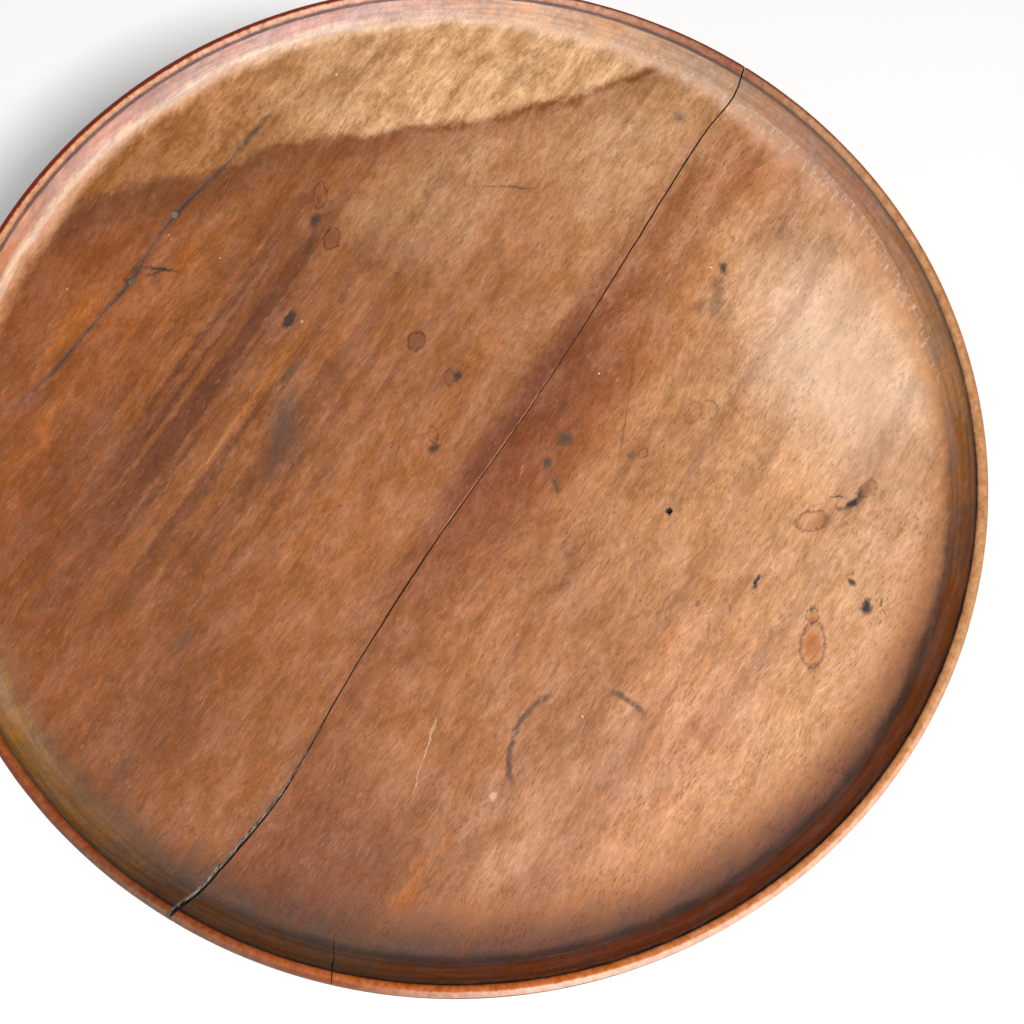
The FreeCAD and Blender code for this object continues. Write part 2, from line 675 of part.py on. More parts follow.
def pad_foot():
    """Round pad on a thin disc, with a crown that runs up into the ankle."""
    disc = point(PAD_DISC_RADIUS, 0, PAD_DISC_HEIGHT)
    widest = point(PAD_RADIUS, 0, PAD_HEIGHT * PAD_WIDEST_SHARE)
    outline = [point(0, 0, 0), point(PAD_DISC_RADIUS, 0, 0), disc]
    outline += bulged(disc, widest, QUARTER_ROUND_SHARE / 2)
    outline += bulged(widest, point(PAD_CROWN_RADIUS, 0, PAD_HEIGHT), QUARTER_ROUND_SHARE)
    return turned(outline + [point(0, 0, PAD_HEIGHT)], x=PAD_CENTRE)


def leg(name):
    """Cabriole leg with its dovetail tongue, coped to the drum and flat where the bracket lies."""
    body = leg_body()
    drum = rod(DRUM_RADIUS + GLUE_LINE, point(0, 0, 0), point(0, 0, TABLE_HEIGHT))
    seat_end = DRUM_RADIUS + LEG_SPAN * LEG_SEAT_SHARE
    under = block(point(0, -LEG_WIDTH, 0), point(seat_end, LEG_WIDTH, COLUMN_FOOT))
    body = body.cut([drum, under])
    solid = turned_to_leg(fused([body, pad_foot(), dovetail()]), LEG_TURNS[name])
    return solid.cut(bracket_nails(SCREW_CLEARANCE))


def leg_bracket():
    """Flat three-armed iron plate with rounded arm ends."""
    low = COLUMN_FOOT - BRACKET_THICKNESS
    half = BRACKET_ARM_WIDTH / 2
    end = BRACKET_REACH - half
    parts = [rod(BRACKET_HUB_RADIUS, point(0, 0, low), point(0, 0, COLUMN_FOOT))]
    for turn in LEG_TURNS.values():
        arm = block(point(0, -half, low), point(end, half, COLUMN_FOOT))
        tip = rod(half, point(end, 0, low), point(end, 0, COLUMN_FOOT))
        parts.append(turned_to_leg(arm.fuse(tip), turn))
    return fused(parts).cut(bracket_nails(SCREW_CLEARANCE))


def plate_front():
    """The catch plate reaches a little past the case at both ends."""
    return CASE_FRONT + (CATCH_CASE_LENGTH - CATCH_PLATE_LENGTH) / 2 + CATCH_PLATE_CORNER / 2


def catch_plate():
    """Brass plate screwed under the top, with rounded corners."""
    half = CATCH_PLATE_WIDTH / 2
    low = point(-half, plate_front(), PLATE_BOTTOM)
    plate = block(low, point(half, plate_front() + CATCH_PLATE_LENGTH, UNDERSIDE))
    upright = [edge for edge in plate.Edges if edge.BoundBox.ZLength > CATCH_PLATE_THICKNESS / 2]
    return plate.makeFillet(CATCH_PLATE_CORNER, upright).cut(catch_screws(SCREW_CLEARANCE))


def catch_case():
    """Case under the plate: a tube closed at its back, with a slot below for the knob's stem."""
    half = CATCH_CASE_WIDTH / 2
    outer = block(point(-half, CASE_FRONT, CASE_BOTTOM), point(half, CASE_BACK, PLATE_BOTTOM))
    wall = CATCH_CASE_WALL
    low = point(wall - half, CASE_FRONT - OVERRUN, CASE_BOTTOM + wall)
    bore = block(low, point(half - wall, CASE_BACK - wall, PLATE_BOTTOM - wall))
    slot_half = KNOB_STEM_RADIUS + SEAT_GAP
    slot_end = KNOB_Y + BOLT_TRAVEL
    parts = [block(point(-slot_half, KNOB_Y, CASE_BOTTOM - OVERRUN), point(slot_half, slot_end, BOLT_BOTTOM))]
    for y in (KNOB_Y, slot_end):
        parts.append(rod(slot_half, point(0, y, CASE_BOTTOM - OVERRUN), point(0, y, BOLT_BOTTOM)))
    return outer.cut([bore] + parts)


def catch_bolt():
    """Sliding bolt whose nose is bevelled below, so that it rides over the keeper as the top comes down."""
    half = BOLT_HALF_WIDTH
    outline = [
        point(-half, BOLT_TIP, BOLT_TOP),
        point(-half, BOLT_TAIL, BOLT_TOP),
        point(-half, BOLT_TAIL, BOLT_BOTTOM),
        point(-half, BOLT_TIP + BOLT_BEVEL, BOLT_BOTTOM),
        point(-half, BOLT_TIP, BOLT_TOP - (BOLT_TOP - BOLT_BOTTOM) / 2),
    ]
    solid = prism(outline, point(half + half, 0, 0))
    socket_top = BOLT_BOTTOM + KNOB_SOCKET_DEPTH + GLUE_LINE
    socket = rod(KNOB_STEM_RADIUS + GLUE_LINE, point(0, KNOB_Y, BOLT_BOTTOM - OVERRUN), point(0, KNOB_Y, socket_top))
    return solid.cut(socket)


def catch_knob():
    """Turned knob with a collar and a stem that stands in the bolt."""
    top = BOLT_BOTTOM + KNOB_SOCKET_DEPTH
    collar_top = BOLT_BOTTOM - KNOB_STEM_DROP
    collar_bottom = collar_top - KNOB_COLLAR_HEIGHT
    bottom = collar_bottom - KNOB_HEIGHT
    widest = (collar_bottom + bottom) / 2
    neck = point(KNOB_STEM_RADIUS, 0, collar_bottom)
    equator = point(KNOB_RADIUS, 0, widest)
    outline = [point(0, 0, top), point(KNOB_STEM_RADIUS, 0, top), point(KNOB_STEM_RADIUS, 0, collar_top)]
    outline += [point(KNOB_COLLAR_RADIUS, 0, collar_top), point(KNOB_COLLAR_RADIUS, 0, collar_bottom), neck]
    outline += bulged(neck, equator, -QUARTER_ROUND_SHARE)
    outline += bulged(equator, point(0, 0, bottom), -QUARTER_ROUND_SHARE)
    return turned(outline, y=KNOB_Y)


def catch_spring():
    """Compression spring between the bolt's tail and the back of the case, standing along Y."""
    half = SPRING_WIRE / 2
    start = BOLT_TAIL + half + GLUE_LINE
    end = CASE_BACK - CATCH_CASE_WALL - half - GLUE_LINE
    helix = Part.makeHelix((end - start) / SPRING_TURNS, end - start, SPRING_RADIUS)
    corners = [(-half, -half), (half, -half), (half, half), (-half, half)]
    section = [point(SPRING_RADIUS + out, 0, up) for out, up in corners]
    wire = Part.makePolygon(section + section[:1])
    coil = Part.Wire(helix.Edges).makePipeShell([wire], True, True)
    return aimed(coil, point(0, start, (BOLT_BOTTOM + BOLT_TOP) / 2), point(0, 1, 0))


def build():
    """Every piece of the table under its node name."""
    front, back = top_boards()
    nodes = {
        "top_front_board": front,
        "top_back_board": back,
        "left_bearer": bearer(-1),
        "right_bearer": bearer(1),
        "bearer_screws": Part.makeCompound(bearer_screws()),
        "repair_nails": Part.makeCompound(repair_nails()),
        "catch_plate": catch_plate(),
        "catch_case": catch_case(),
        "catch_screws": Part.makeCompound(catch_screws()),
        "catch_bolt": catch_bolt(),
        "catch_knob": catch_knob(),
        "catch_spring": catch_spring(),
        "pivot_block": pivot_block(),
        "keeper_plate": keeper_plate(),
        "keeper_screws": Part.makeCompound(keeper_screws()),
        "column": column(),
        "column_wedge": tenon_wedge(),
        "leg_bracket": leg_bracket(),
        "bracket_nails": Part.makeCompound(bracket_nails()),
    }
    for name in LEG_TURNS:
        nodes[name] = leg(name)
    return nodes


os.makedirs("parts", exist_ok=True)
for name, shape in build().items():
    shape.exportStep("parts/" + name + ".step")
    box = shape.BoundBox
    print(name, len(shape.Solids), shape.isValid(), round(shape.Volume), box)
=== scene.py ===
import math

import bmesh
import bpy
from mathutils import Matrix, Vector, noise


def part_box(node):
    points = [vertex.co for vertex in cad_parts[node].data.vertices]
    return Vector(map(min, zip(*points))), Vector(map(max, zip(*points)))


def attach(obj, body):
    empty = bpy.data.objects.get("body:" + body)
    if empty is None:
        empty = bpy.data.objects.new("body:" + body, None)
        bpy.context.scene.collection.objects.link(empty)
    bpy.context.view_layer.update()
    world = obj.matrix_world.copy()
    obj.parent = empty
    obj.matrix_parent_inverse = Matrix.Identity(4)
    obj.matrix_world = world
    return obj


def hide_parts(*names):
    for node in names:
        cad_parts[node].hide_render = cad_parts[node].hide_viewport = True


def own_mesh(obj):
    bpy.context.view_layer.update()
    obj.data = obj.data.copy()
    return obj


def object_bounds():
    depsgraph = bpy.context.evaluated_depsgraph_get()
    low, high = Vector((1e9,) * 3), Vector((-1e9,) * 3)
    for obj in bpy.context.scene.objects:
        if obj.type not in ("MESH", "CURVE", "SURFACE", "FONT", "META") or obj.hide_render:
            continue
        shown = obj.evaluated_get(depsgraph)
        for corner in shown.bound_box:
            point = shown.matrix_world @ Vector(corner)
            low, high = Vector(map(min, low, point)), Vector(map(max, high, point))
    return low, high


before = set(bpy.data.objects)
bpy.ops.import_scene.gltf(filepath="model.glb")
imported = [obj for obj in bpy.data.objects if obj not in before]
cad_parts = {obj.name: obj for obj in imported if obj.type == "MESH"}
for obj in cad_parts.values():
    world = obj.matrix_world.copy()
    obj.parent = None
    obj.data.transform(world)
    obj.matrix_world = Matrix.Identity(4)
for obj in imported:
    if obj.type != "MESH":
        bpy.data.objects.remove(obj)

bl_info = {
    "name": "Dished wine table",
    "version": (1, 0, 0),
    "blender": (4, 5, 0),
    "location": "3D Viewport > Sidebar > Wine table",
    "description": "Shapes and finishes of an old tilt-top wine table around its packed frame",
    "category": "Object",
}

# Millimetres are used for every size and place below. The grain of the top runs along X.
MM = 0.001
SAME_PLACE = 1e-6
LEVEL = (1.0, 1.0, 0.0)
LOW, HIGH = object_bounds()
CROWN = HIGH.z / MM
TOP_RADIUS = HIGH.x / MM
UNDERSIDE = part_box("top_back_board")[0].z / MM
COLUMN_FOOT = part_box("column")[0].z / MM
BLOCK_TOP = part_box("column")[1].z / MM
BLOCK_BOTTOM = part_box("pivot_block")[0].z / MM
FOOT_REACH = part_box("leg_back")[1].y / MM

# Split from edge to edge. Columns: shares of the top's radius along X and Y, and how far it has opened
SPLIT_ROWS = [
    (-1.040, -0.030, 1.00), (-0.988, -0.044, 0.90), (-0.839, -0.068, 0.75), (-0.716, -0.080, 0.45),
    (-0.613, -0.075, 0.20), (-0.467, -0.064, 0.05), (-0.292, -0.058, 0.15), (-0.155, -0.057, 0.10),
    (0.047, -0.062, 0.00), (0.205, -0.064, 0.00), (0.413, -0.060, 0.05), (0.575, -0.054, 0.10), (0.820, -0.047, 0.12),
    (0.946, -0.055, 0.10), (1.040, -0.040, 0.10),
]

# Cracks that don't part the board. Columns: shares of the top's radius along X and Y, share of the full width of the
# second crack, and how far up the dish's depth the crack's mouth lies
CRACK_ROWS = [
    (-0.398, 0.777, 0.0, 0.0), (-0.303, 0.742, 0.8, 0.0), (-0.163, 0.734, 1.0, 0.0), (-0.052, 0.725, 0.9, 0.0),
    (0.026, 0.733, 0.6, 0.0), (0.115, 0.734, 1.0, 0.0), (0.271, 0.714, 0.7, 0.0), (0.353, 0.710, 0.0, 0.0),
]
RIM_CRACK_ROWS = [
    (-0.858, -0.293, 0.2, 0.0), (-0.884, -0.308, 1.4, 0.06), (-0.898, -0.318, 1.9, 0.25), (-0.911, -0.324, 2.8, 0.55),
    (-0.924, -0.333, 2.4, 0.92), (-0.940, -0.343, 3.2, 1.0), (-0.970, -0.362, 7.0, 0.75),
]

# Stations of a cabriole leg along +X. Columns: X and Z of the upper line, X and Z of the lower line, width, squareness
LEG_ROWS = [
    (18.9, 194.3, 18.9, 109.0, 34.0, 3.4), (33.0, 194.2, 33.0, 109.0, 34.0, 3.4),
    (50.0, 192.3, 50.0, 109.0, 34.0, 3.2), (69.0, 184.5, 64.0, 108.4, 33.5, 3.0),
    (87.0, 171.0, 78.5, 102.0, 32.0, 2.9), (103.5, 152.5, 92.5, 90.5, 30.0, 2.7),
    (117.5, 130.5, 105.5, 77.0, 28.0, 2.5), (130.0, 107.0, 117.5, 62.0, 26.0, 2.4),
    (142.0, 83.5, 129.5, 47.0, 24.4, 2.3), (153.5, 62.0, 142.5, 33.0, 23.0, 2.2),
    (166.0, 44.0, 156.5, 22.5, 22.0, 2.2), (180.0, 30.5, 171.0, 14.5, 22.0, 2.2),
    (194.0, 22.0, 186.0, 8.0, 24.0, 2.2),
]

# Members of the column up to its shaft and above it. Columns: radius, rise, bulge, steps
COLUMN_FOOT_MEMBERS = (
    (29.0, 0.0, 0.0, 1), (29.0, 7.0, 0.5, 20), (22.0, 12.0, -0.24, 16), (22.0, 2.4, 0.0, 1), (23.6, 0.0, 0.0, 1),
    (24.0, 0.4, 0.0, 1), (27.5, 66.1, 0.18, 28), (15.5, 49.5, -0.10, 24), (17.0, 0.0, 0.0, 1), (17.0, 9.0, 0.5, 20),
    (19.0, 0.0, 0.0, 1), (19.0, 2.4, 0.0, 1),
)
COLUMN_HEAD_MEMBERS = (
    (15.5, 0.0, 0.0, 1), (15.5, 6.0, 0.5, 16), (15.5, 0.0, 0.0, 1), (15.5, 2.4, 0.0, 1), (29.0, 32.0, -0.12, 20),
    (31.4, 0.0, 0.0, 1), (32.0, 0.6, 0.2, 3),
)
COLUMN_HEAD_HEIGHT = 46.4
COLLAR_RADIUS = 32.0

# Turned section of the top: rings of the dish and of the underside, and the undercut below the outer edge
DISH_RINGS = 30
UNDERSIDE_RINGS = 11
UNDERCUT = 9.0
EDGE_HEIGHT = 10.0

# Split: how far from it the wood is torn, where the ledge inside it ends along X, and how finely its line is read
SPLIT_REACH = 4.5
LEDGE_END = -142.0
SPLIT_STEPS = 400

# Place of a pin's hole in the front board
PIN_HOLE = (30.6, -102.8)

# Camera: place in metres, and which way its right, its top and its back face
CAMERA_PLACE = (-0.2503, -0.1611, 1.5565)
CAMERA_SIDES = ((0.5331, -0.8457, 0.0268), (0.8040, 0.5162, 0.2953), (-0.2636, -0.1359, 0.9551))

# Legs and the way each is turned from +X, in degrees
LEG_TURNS = (("leg_back", 90), ("leg_left", 210), ("leg_right", 330))


# Properties

def length(name, description, default, low=0.0, high=1.0):
    """A size in metres, shown in the scene's units."""
    return bpy.props.FloatProperty(
        name=name, description=description, default=default * MM, min=low, max=high,
        subtype="DISTANCE", unit="LENGTH"
    )


def linear(code):
    """Linear colour of a six-figure screen colour."""
    values = [int(code[i:i + 2], 16) / 255 for i in (0, 2, 4)]
    return tuple(v / 12.92 if v <= 0.04045 else ((v + 0.055) / 1.055) ** 2.4 for v in values)


def paint(name, description, code):
    return bpy.props.FloatVectorProperty(
        name=name, description=description, default=linear(code), size=3, min=0.0, max=1.0, subtype="COLOR"
    )


class TopSizes(bpy.types.PropertyGroup):
    """Sizes of the dished top."""

    dish_depth: length("Dish depth", "Height of the rim above the dish floor", 8.5)
    lip_width: length("Lip width", "Width of the rounded lip", 5.8)
    quirk_width: length("Quirk width", "Width of the sunk line inside the lip", 1.4)
    cove_width: length("Cove width", "Width of the hollow inside the quirk", 7.8)
    blend_width: length("Blend width", "Width of the soft rise out of the dish floor", 5.0)
    split_width: length("Split width", "Narrowest opening of the split", 0.42)
    split_end_width: length("Split end width", "Widest opening of the split", 3.2)
    split_lean: length("Split lean", "How far the split leans through the board", 2.6)
    crack_width: length("Crack width", "Widest opening of the second crack", 0.45)
    crack_depth: length("Crack depth", "Depth of the second crack", 3.0)
    unevenness: length("Unevenness", "How far the old surface dips below true", 0.35)


class BaseSizes(bpy.types.PropertyGroup):
    """Sizes of the column and legs."""

    drum_radius: length("Drum radius", "Radius of the column where the legs join", 31.0)
    drum_height: length("Drum height", "Height of the column's plain drum", 87.0)
    tenon_radius: length("Tenon radius", "Radius of the tenon through the block", 14.0)
    pad_radius: length("Pad radius", "Radius of each pad foot", 22.0)
    pad_height: length("Pad height", "Height of each pad foot", 19.0)
    leg_grid: length("Leg grid", "Fineness of the carved leg surface", 1.3)


class CatchSizes(bpy.types.PropertyGroup):
    """Sizes of the snap catch."""

    bolt_travel: length("Bolt travel", "How far the bolt draws back against its spring", 7.0)


class Finishes(bpy.types.PropertyGroup):
    """Colours of the woods and metals."""

    soot: paint("Soot", "Ink spots and grime", "2C211D")
    slate: paint("Slate", "Blue-grey spots and haze", "40362F")
    polish: paint("Polished wood", "Colour of the column and legs", "84431C")
    raw: paint("Raw wood", "Unpolished wood out of sight", "6E4A30")
    brass: paint("Brass", "Clean brass", "B08D4F")
    iron: paint("Iron", "Dark iron", "2E2A28")


class StageSizes(bpy.types.PropertyGroup):
    """Floor, lights and camera."""

    floor_radius: bpy.props.FloatProperty(
        name="Floor radius", description="Radius of the pale floor", default=9.0, min=1.0,
        subtype="DISTANCE", unit="LENGTH"
    )
    key_power: bpy.props.FloatProperty(
        name="Key power", description="Power of the main soft light", default=112.0, min=0.0, unit="POWER"
    )
    fill_power: bpy.props.FloatProperty(
        name="Fill power", description="Power of each weak light", default=3.5, min=0.0, unit="POWER"
    )
    sky: bpy.props.FloatProperty(
        name="Sky", description="Strength of the even light all round", default=0.40, min=0.0, max=10.0
    )
    lens: bpy.props.FloatProperty(
        name="Lens", description="Focal length of the camera", default=65.3, min=1.0, unit="CAMERA"
    )


# Mesh helpers

class Outline:
    """Half section of a turning, drawn member by member from (radius, height)."""

    def __init__(self, radius, height):
        self.points = [(radius, height)]

    def to(self, radius, rise=0.0, bulge=0.0, steps=12):
        """Next member, straight or bulging to the right of its path by a share of its chord."""
        x, z = self.points[-1]
        dx, dz = radius - x, rise
        if not bulge:
            self.points.append((radius, z + rise))
            return self
        half = 2 * math.atan(2 * abs(bulge))
        for step in range(1, steps + 1):
            angle = half * (2 * step / steps - 1)
            along = (1 + math.sin(angle) / math.sin(half)) / 2
            out = math.copysign((math.cos(angle) - math.cos(half)) / (2 * math.sin(half)), bulge)
            self.points.append((x + dx * along + dz * out, z + dz * along - dx * out))
        return self


def close_skin(bm, fill=False):
    """Merges the doubles of a skin, closes its open ends if asked, and turns its faces outwards."""
    bmesh.ops.remove_doubles(bm, verts=bm.verts, dist=SAME_PLACE)
    if fill:
        bmesh.ops.holes_fill(bm, edges=[edge for edge in bm.edges if edge.is_boundary], sides=0)
    bmesh.ops.recalc_face_normals(bm, faces=bm.faces)


def turn_outline(bm, points, steps, x=0.0, y=0.0):
    """Spins an outline about an upright axis into a closed skin."""
    verts = [bm.verts.new((radius * MM, 0, height * MM)) for radius, height in points]
    edges = [bm.edges.new(pair) for pair in zip(verts, verts[1:])]
    bmesh.ops.spin(
        bm, geom=verts + edges, cent=(0, 0, 0), axis=(0, 0, 1), dvec=(0, 0, 0), angle=math.tau, steps=steps,
        use_merge=True
    )
    close_skin(bm)
    bmesh.ops.translate(bm, verts=bm.verts, vec=(x * MM, y * MM, 0))


def crease(bm, degrees):
    """Smooth shading that breaks at edges sharper than an angle."""
    for face in bm.faces:
        face.smooth = True
    for edge in bm.edges:
        if len(edge.link_faces) == 2:
            edge.smooth = edge.calc_face_angle(0.0) < math.radians(degrees)


def object_from(bm, name):
    mesh = bpy.data.meshes.new(name)
    bm.to_mesh(mesh)
    bm.free()
    made = bpy.data.objects.new(name, mesh)
    bpy.context.scene.collection.objects.link(made)
    return made


def twin(obj):
    """A copy of the object with its own mesh."""
    made = obj.copy()
    made.data = obj.data.copy()
    bpy.context.scene.collection.objects.link(made)
    return made


def settled(obj):
    """The object's mesh with its modifiers applied, in its place."""
    graph = bpy.context.evaluated_depsgraph_get()
    mesh = bpy.data.meshes.new_from_object(obj.evaluated_get(graph))
    old = obj.data
    obj.modifiers.clear()
    obj.data = mesh
    bpy.data.meshes.remove(old)
    return obj


def discard(obj):
    mesh = obj.data
    bpy.data.objects.remove(obj)
    bpy.data.meshes.remove(mesh)


def cut(obj, cutters, operation="DIFFERENCE"):
    """Cuts each cutter from the object, or joins it, and removes it."""
    for cutter in cutters:
        step = obj.modifiers.new(cutter.name, "BOOLEAN")
        step.operation = operation
        step.object = cutter
        step.solver = "EXACT"
    settled(obj)
    for cutter in cutters:
        discard(cutter)
    return obj


def finish_piece(obj, name, body, materials, nodes, degrees=35):
    """Names the piece, shades it, gives it its materials and ties it to the frame."""
    obj.name = name
    obj.data.name = name
    bm = bmesh.new()
    bm.from_mesh(obj.data)
    crease(bm, degrees)
    bm.to_mesh(obj.data)
    bm.free()
    obj.data.materials.clear()
    for material in materials:
        obj.data.materials.append(material)
    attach(obj, body)
    if nodes:
        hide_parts(*nodes)
    return obj


def through(rows, at):
    """Smooth value of a table of rows at a share of its length."""
    last = len(rows) - 1
    place = min(max(at, 0.0), 1.0) * last
    index = min(int(place), last - 1)
    t = place - index
    a, b, c, d = (rows[min(max(index + step, 0), last)] for step in (-1, 0, 1, 2))
    return [
        0.5 * (2 * q + (r - p) * t + (2 * p - 5 * q + 4 * r - s) * t * t + (3 * q - p - 3 * r + s) * t ** 3)
        for p, q, r, s in zip(a, b, c, d)
    ]


def wander(place, size, seed=0.0):
    """Smooth noise from -1 to 1 that changes over about a size."""
    return noise.noise(Vector(place) / size + Vector((seed, seed, seed)))


# Shader helpers

class Sheet:
    """One node tree being drawn: each call adds a node and gives the socket that it puts out."""

    def __init__(self, tree):
        self.tree = tree

    def feed(self, node, values):
        """Links or sets each named input of a node."""
        for key, value in dict(values).items():
            if isinstance(value, bpy.types.NodeSocket):
                self.link(value, node.inputs[key])
            else:
                node.inputs[key].default_value = value

    def link(self, value, socket):
        self.tree.links.new(value, socket)

    def add(self, kind, values=(), out=0, **settings):
        """A new node with its inputs fed, as one of its outputs."""
        node = self.tree.nodes.new("ShaderNode" + kind)
        for key, value in settings.items():
            setattr(node, key, value)
        self.feed(node, values)
        return node.outputs[out]

    def math(self, operation, *values):
        return self.add("Math", enumerate(values), operation=operation)

    def vector(self, operation, *values, out=0):
        return self.add("VectorMath", enumerate(values), out, operation=operation)

    def scaled(self, vector, amount):
        return self.add("VectorMath", {0: vector, 3: amount}, operation="SCALE")

    def stretched(self, vector, amounts):
        return self.vector("MULTIPLY", vector, amounts)

    def mix(self, factor, first, second):
        return self.add("Mix", {0: factor, 6: first, 7: second}, 2, data_type="RGBA")

    def minus(self, first, second):
        return self.math("SUBTRACT", first, second)

    def parts(self, vector):
        """The X, Y and Z of a vector."""
        return self.add("SeparateXYZ", {0: vector}).node.outputs

    def radius(self, vector):
        """Distance from the upright axis."""
        return self.vector("LENGTH", self.stretched(vector, LEVEL), out=1)

    def blend(self, factor, first, second):
        return self.add("Mix", {0: factor, 2: first, 3: second}, 0, data_type="FLOAT")

    def span(self, value, low, high, start=0.0, end=1.0):
        """Smooth step from the start to the end, over the values from low to high."""
        values = {0: value, 1: low, 2: high, 3: start, 4: end}
        return self.add("MapRange", values, interpolation_type="SMOOTHSTEP")

    def tint(self, tone, shade, *masks):
        """The tone changed to a screen colour as far as all the masks let it."""
        return self.mix(self.times(*masks), tone, code(shade))

    def shaded(self, colour, amount, saturation=1.0):
        """The colour made lighter or darker by a factor."""
        return self.add("HueSaturation", {"Value": amount, "Saturation": saturation, "Fac": 1.0, "Color": colour})

    def times(self, *values):
        """The product of all the values."""
        result = values[0]
        for value in values[1:]:
            result = self.math("MULTIPLY", result, value)
        return result

    def noise(self, vector, scale, detail=2.0, roughness=0.5, distortion=0.0, out=0):
        values = {"Vector": vector, "Scale": scale, "Detail": detail, "Roughness": roughness, "Distortion": distortion}
        return self.add("TexNoise", values, out)

    def swirl(self, vector, scale, amount, detail=3.0, roughness=0.6):
        """Random offset of up to half an amount each way, which changes over the surface."""
        paint = self.noise(vector, scale, detail, roughness, out=1)
        parts = self.add("SeparateColor", {0: paint}).node.outputs
        offset = self.add("CombineXYZ", {0: parts[0], 1: parts[1], 2: parts[2]})
        return self.scaled(self.vector("SUBTRACT", offset, (0.5, 0.5, 0.5)), amount)

    def curve(self, value, points, low, high):
        """Smooth curve through (value, result) points, over the span from the first value to the last."""
        first, last = points[0][0], points[-1][0]
        share_in = self.add("MapRange", {0: value, 1: first, 2: last, 3: 0.0, 4: 1.0})
        out = self.add("FloatCurve", {"Factor": 1.0, "Value": share_in})
        line = out.node.mapping.curves[0]
        places = [((x - first) / (last - first), (y - low) / (high - low)) for x, y in points]
        line.points[0].location = places[0]
        line.points[1].location = places[-1]
        for place in places[1:-1]:
            line.points.new(*place)
        out.node.mapping.update()
        return self.add("MapRange", {0: out, 1: 0.0, 2: 1.0, 3: low, 4: high})

    def group(self, tree, values, out=0):
        """One of a shared group's outputs, or all of them where out is None."""
        node = self.tree.nodes.new("ShaderNodeGroup")
        node.node_tree = tree
        self.feed(node, values)
        return node.outputs if out is None else node.outputs[out]

    def total(self, values):
        """The values added up, held between nothing and one."""
        result = values[0]
        for value in values[1:]:
            result = self.math("ADD", result, value)
        return self.add("Clamp", {0: result})


def new_group(name, inputs, outputs):
    """An empty shared node group and the sheet to draw it on."""
    tree = bpy.data.node_groups.new(name, "ShaderNodeTree")
    for label, kind in inputs:
        tree.interface.new_socket(label, in_out="INPUT", socket_type="NodeSocket" + kind)
    for label, kind in outputs:
        tree.interface.new_socket(label, in_out="OUTPUT", socket_type="NodeSocket" + kind)
    given = tree.nodes.new("NodeGroupInput").outputs
    taken = tree.nodes.new("NodeGroupOutput").inputs
    return tree, Sheet(tree), given, taken


def shared(name, maker):
    """A shared group, made the first time that it is asked for."""
    return bpy.data.node_groups.get(name) or maker(name)


def grain_group(name):
    """Wood grain along X in millimetres: growth bands, fibres, dark pores, pale flecks and a fine mottle."""
    inputs = [("Vector", "Vector"), ("Band", "Float"), ("Sway", "Float")]
    outputs = [("Figure", "Float"), ("Fibre", "Float"), ("Pore", "Float"), ("Fleck", "Float"), ("Mottle", "Float")]
    tree, sheet, given, taken = new_group(name, inputs, outputs)
    moved = sheet.vector("ADD", given["Vector"], sheet.swirl(given["Vector"], 0.009, given["Sway"], 2.0, 0.5))
    curled = sheet.vector("ADD", moved, sheet.swirl(given["Vector"], 0.035, 2.4, 1.0, 0.5))
    figure = sheet.noise(sheet.stretched(moved, (0.045, 1.0, 1.0)), sheet.math("DIVIDE", 1.0, given["Band"]), 5.0, 0.62)
    fibre = sheet.noise(sheet.stretched(curled, (0.15, 1.0, 1.0)), 1.0, 4.0, 0.72)
    pore = sheet.noise(sheet.stretched(curled, (0.22, 1.0, 1.0)), 1.15, 2.0, 0.6)
    fleck = sheet.noise(sheet.stretched(curled, (0.12, 1.0, 1.0)), 1.4, 2.0, 0.65)
    here = sheet.noise(given["Vector"], 0.07, 3.0, 0.6)
    mottle = sheet.noise(sheet.stretched(curled, (0.36, 1.0, 1.0)), 0.42, 6.0, 0.8, 0.3)
    sheet.link(figure, taken["Figure"])
    sheet.link(fibre, taken["Fibre"])
    sheet.link(sheet.times(sheet.span(pore, 0.56, 0.72), sheet.span(here, 0.36, 0.6)), taken["Pore"])
    sheet.link(sheet.times(sheet.span(fleck, 0.58, 0.74), sheet.span(here, 0.6, 0.38)), taken["Fleck"])
    sheet.link(mottle, taken["Mottle"])
    return tree


def stain_group(name):
    """Soft or hard oval mark at a place: its mask, and the rim that a dried stain leaves."""
    inputs = [("Vector", "Vector"), ("Place", "Vector"), ("Along", "Vector"), ("Across", "Vector")]
    inputs += [("Softness", "Float")]
    outputs = [("Mask", "Float"), ("Rim", "Float")]
    tree, sheet, given, taken = new_group(name, inputs, outputs)
    local = sheet.vector("SUBTRACT", given["Vector"], given["Place"])
    along = sheet.vector("DOT_PRODUCT", local, given["Along"], out=1)
    across = sheet.vector("DOT_PRODUCT", local, given["Across"], out=1)
    far = sheet.math("MULTIPLY_ADD", along, along, sheet.times(across, across))
    far = sheet.math("SQRT", far)
    inner = sheet.minus(1.0, given["Softness"])
    mask = sheet.span(far, inner, 1.0, 1.0, 0.0)
    rim = sheet.span(sheet.math("ABSOLUTE", sheet.minus(far, 0.82)), 0.0, 0.2, 1.0, 0.0)
    sheet.link(mask, taken["Mask"])
    sheet.link(rim, taken["Rim"])
    return tree


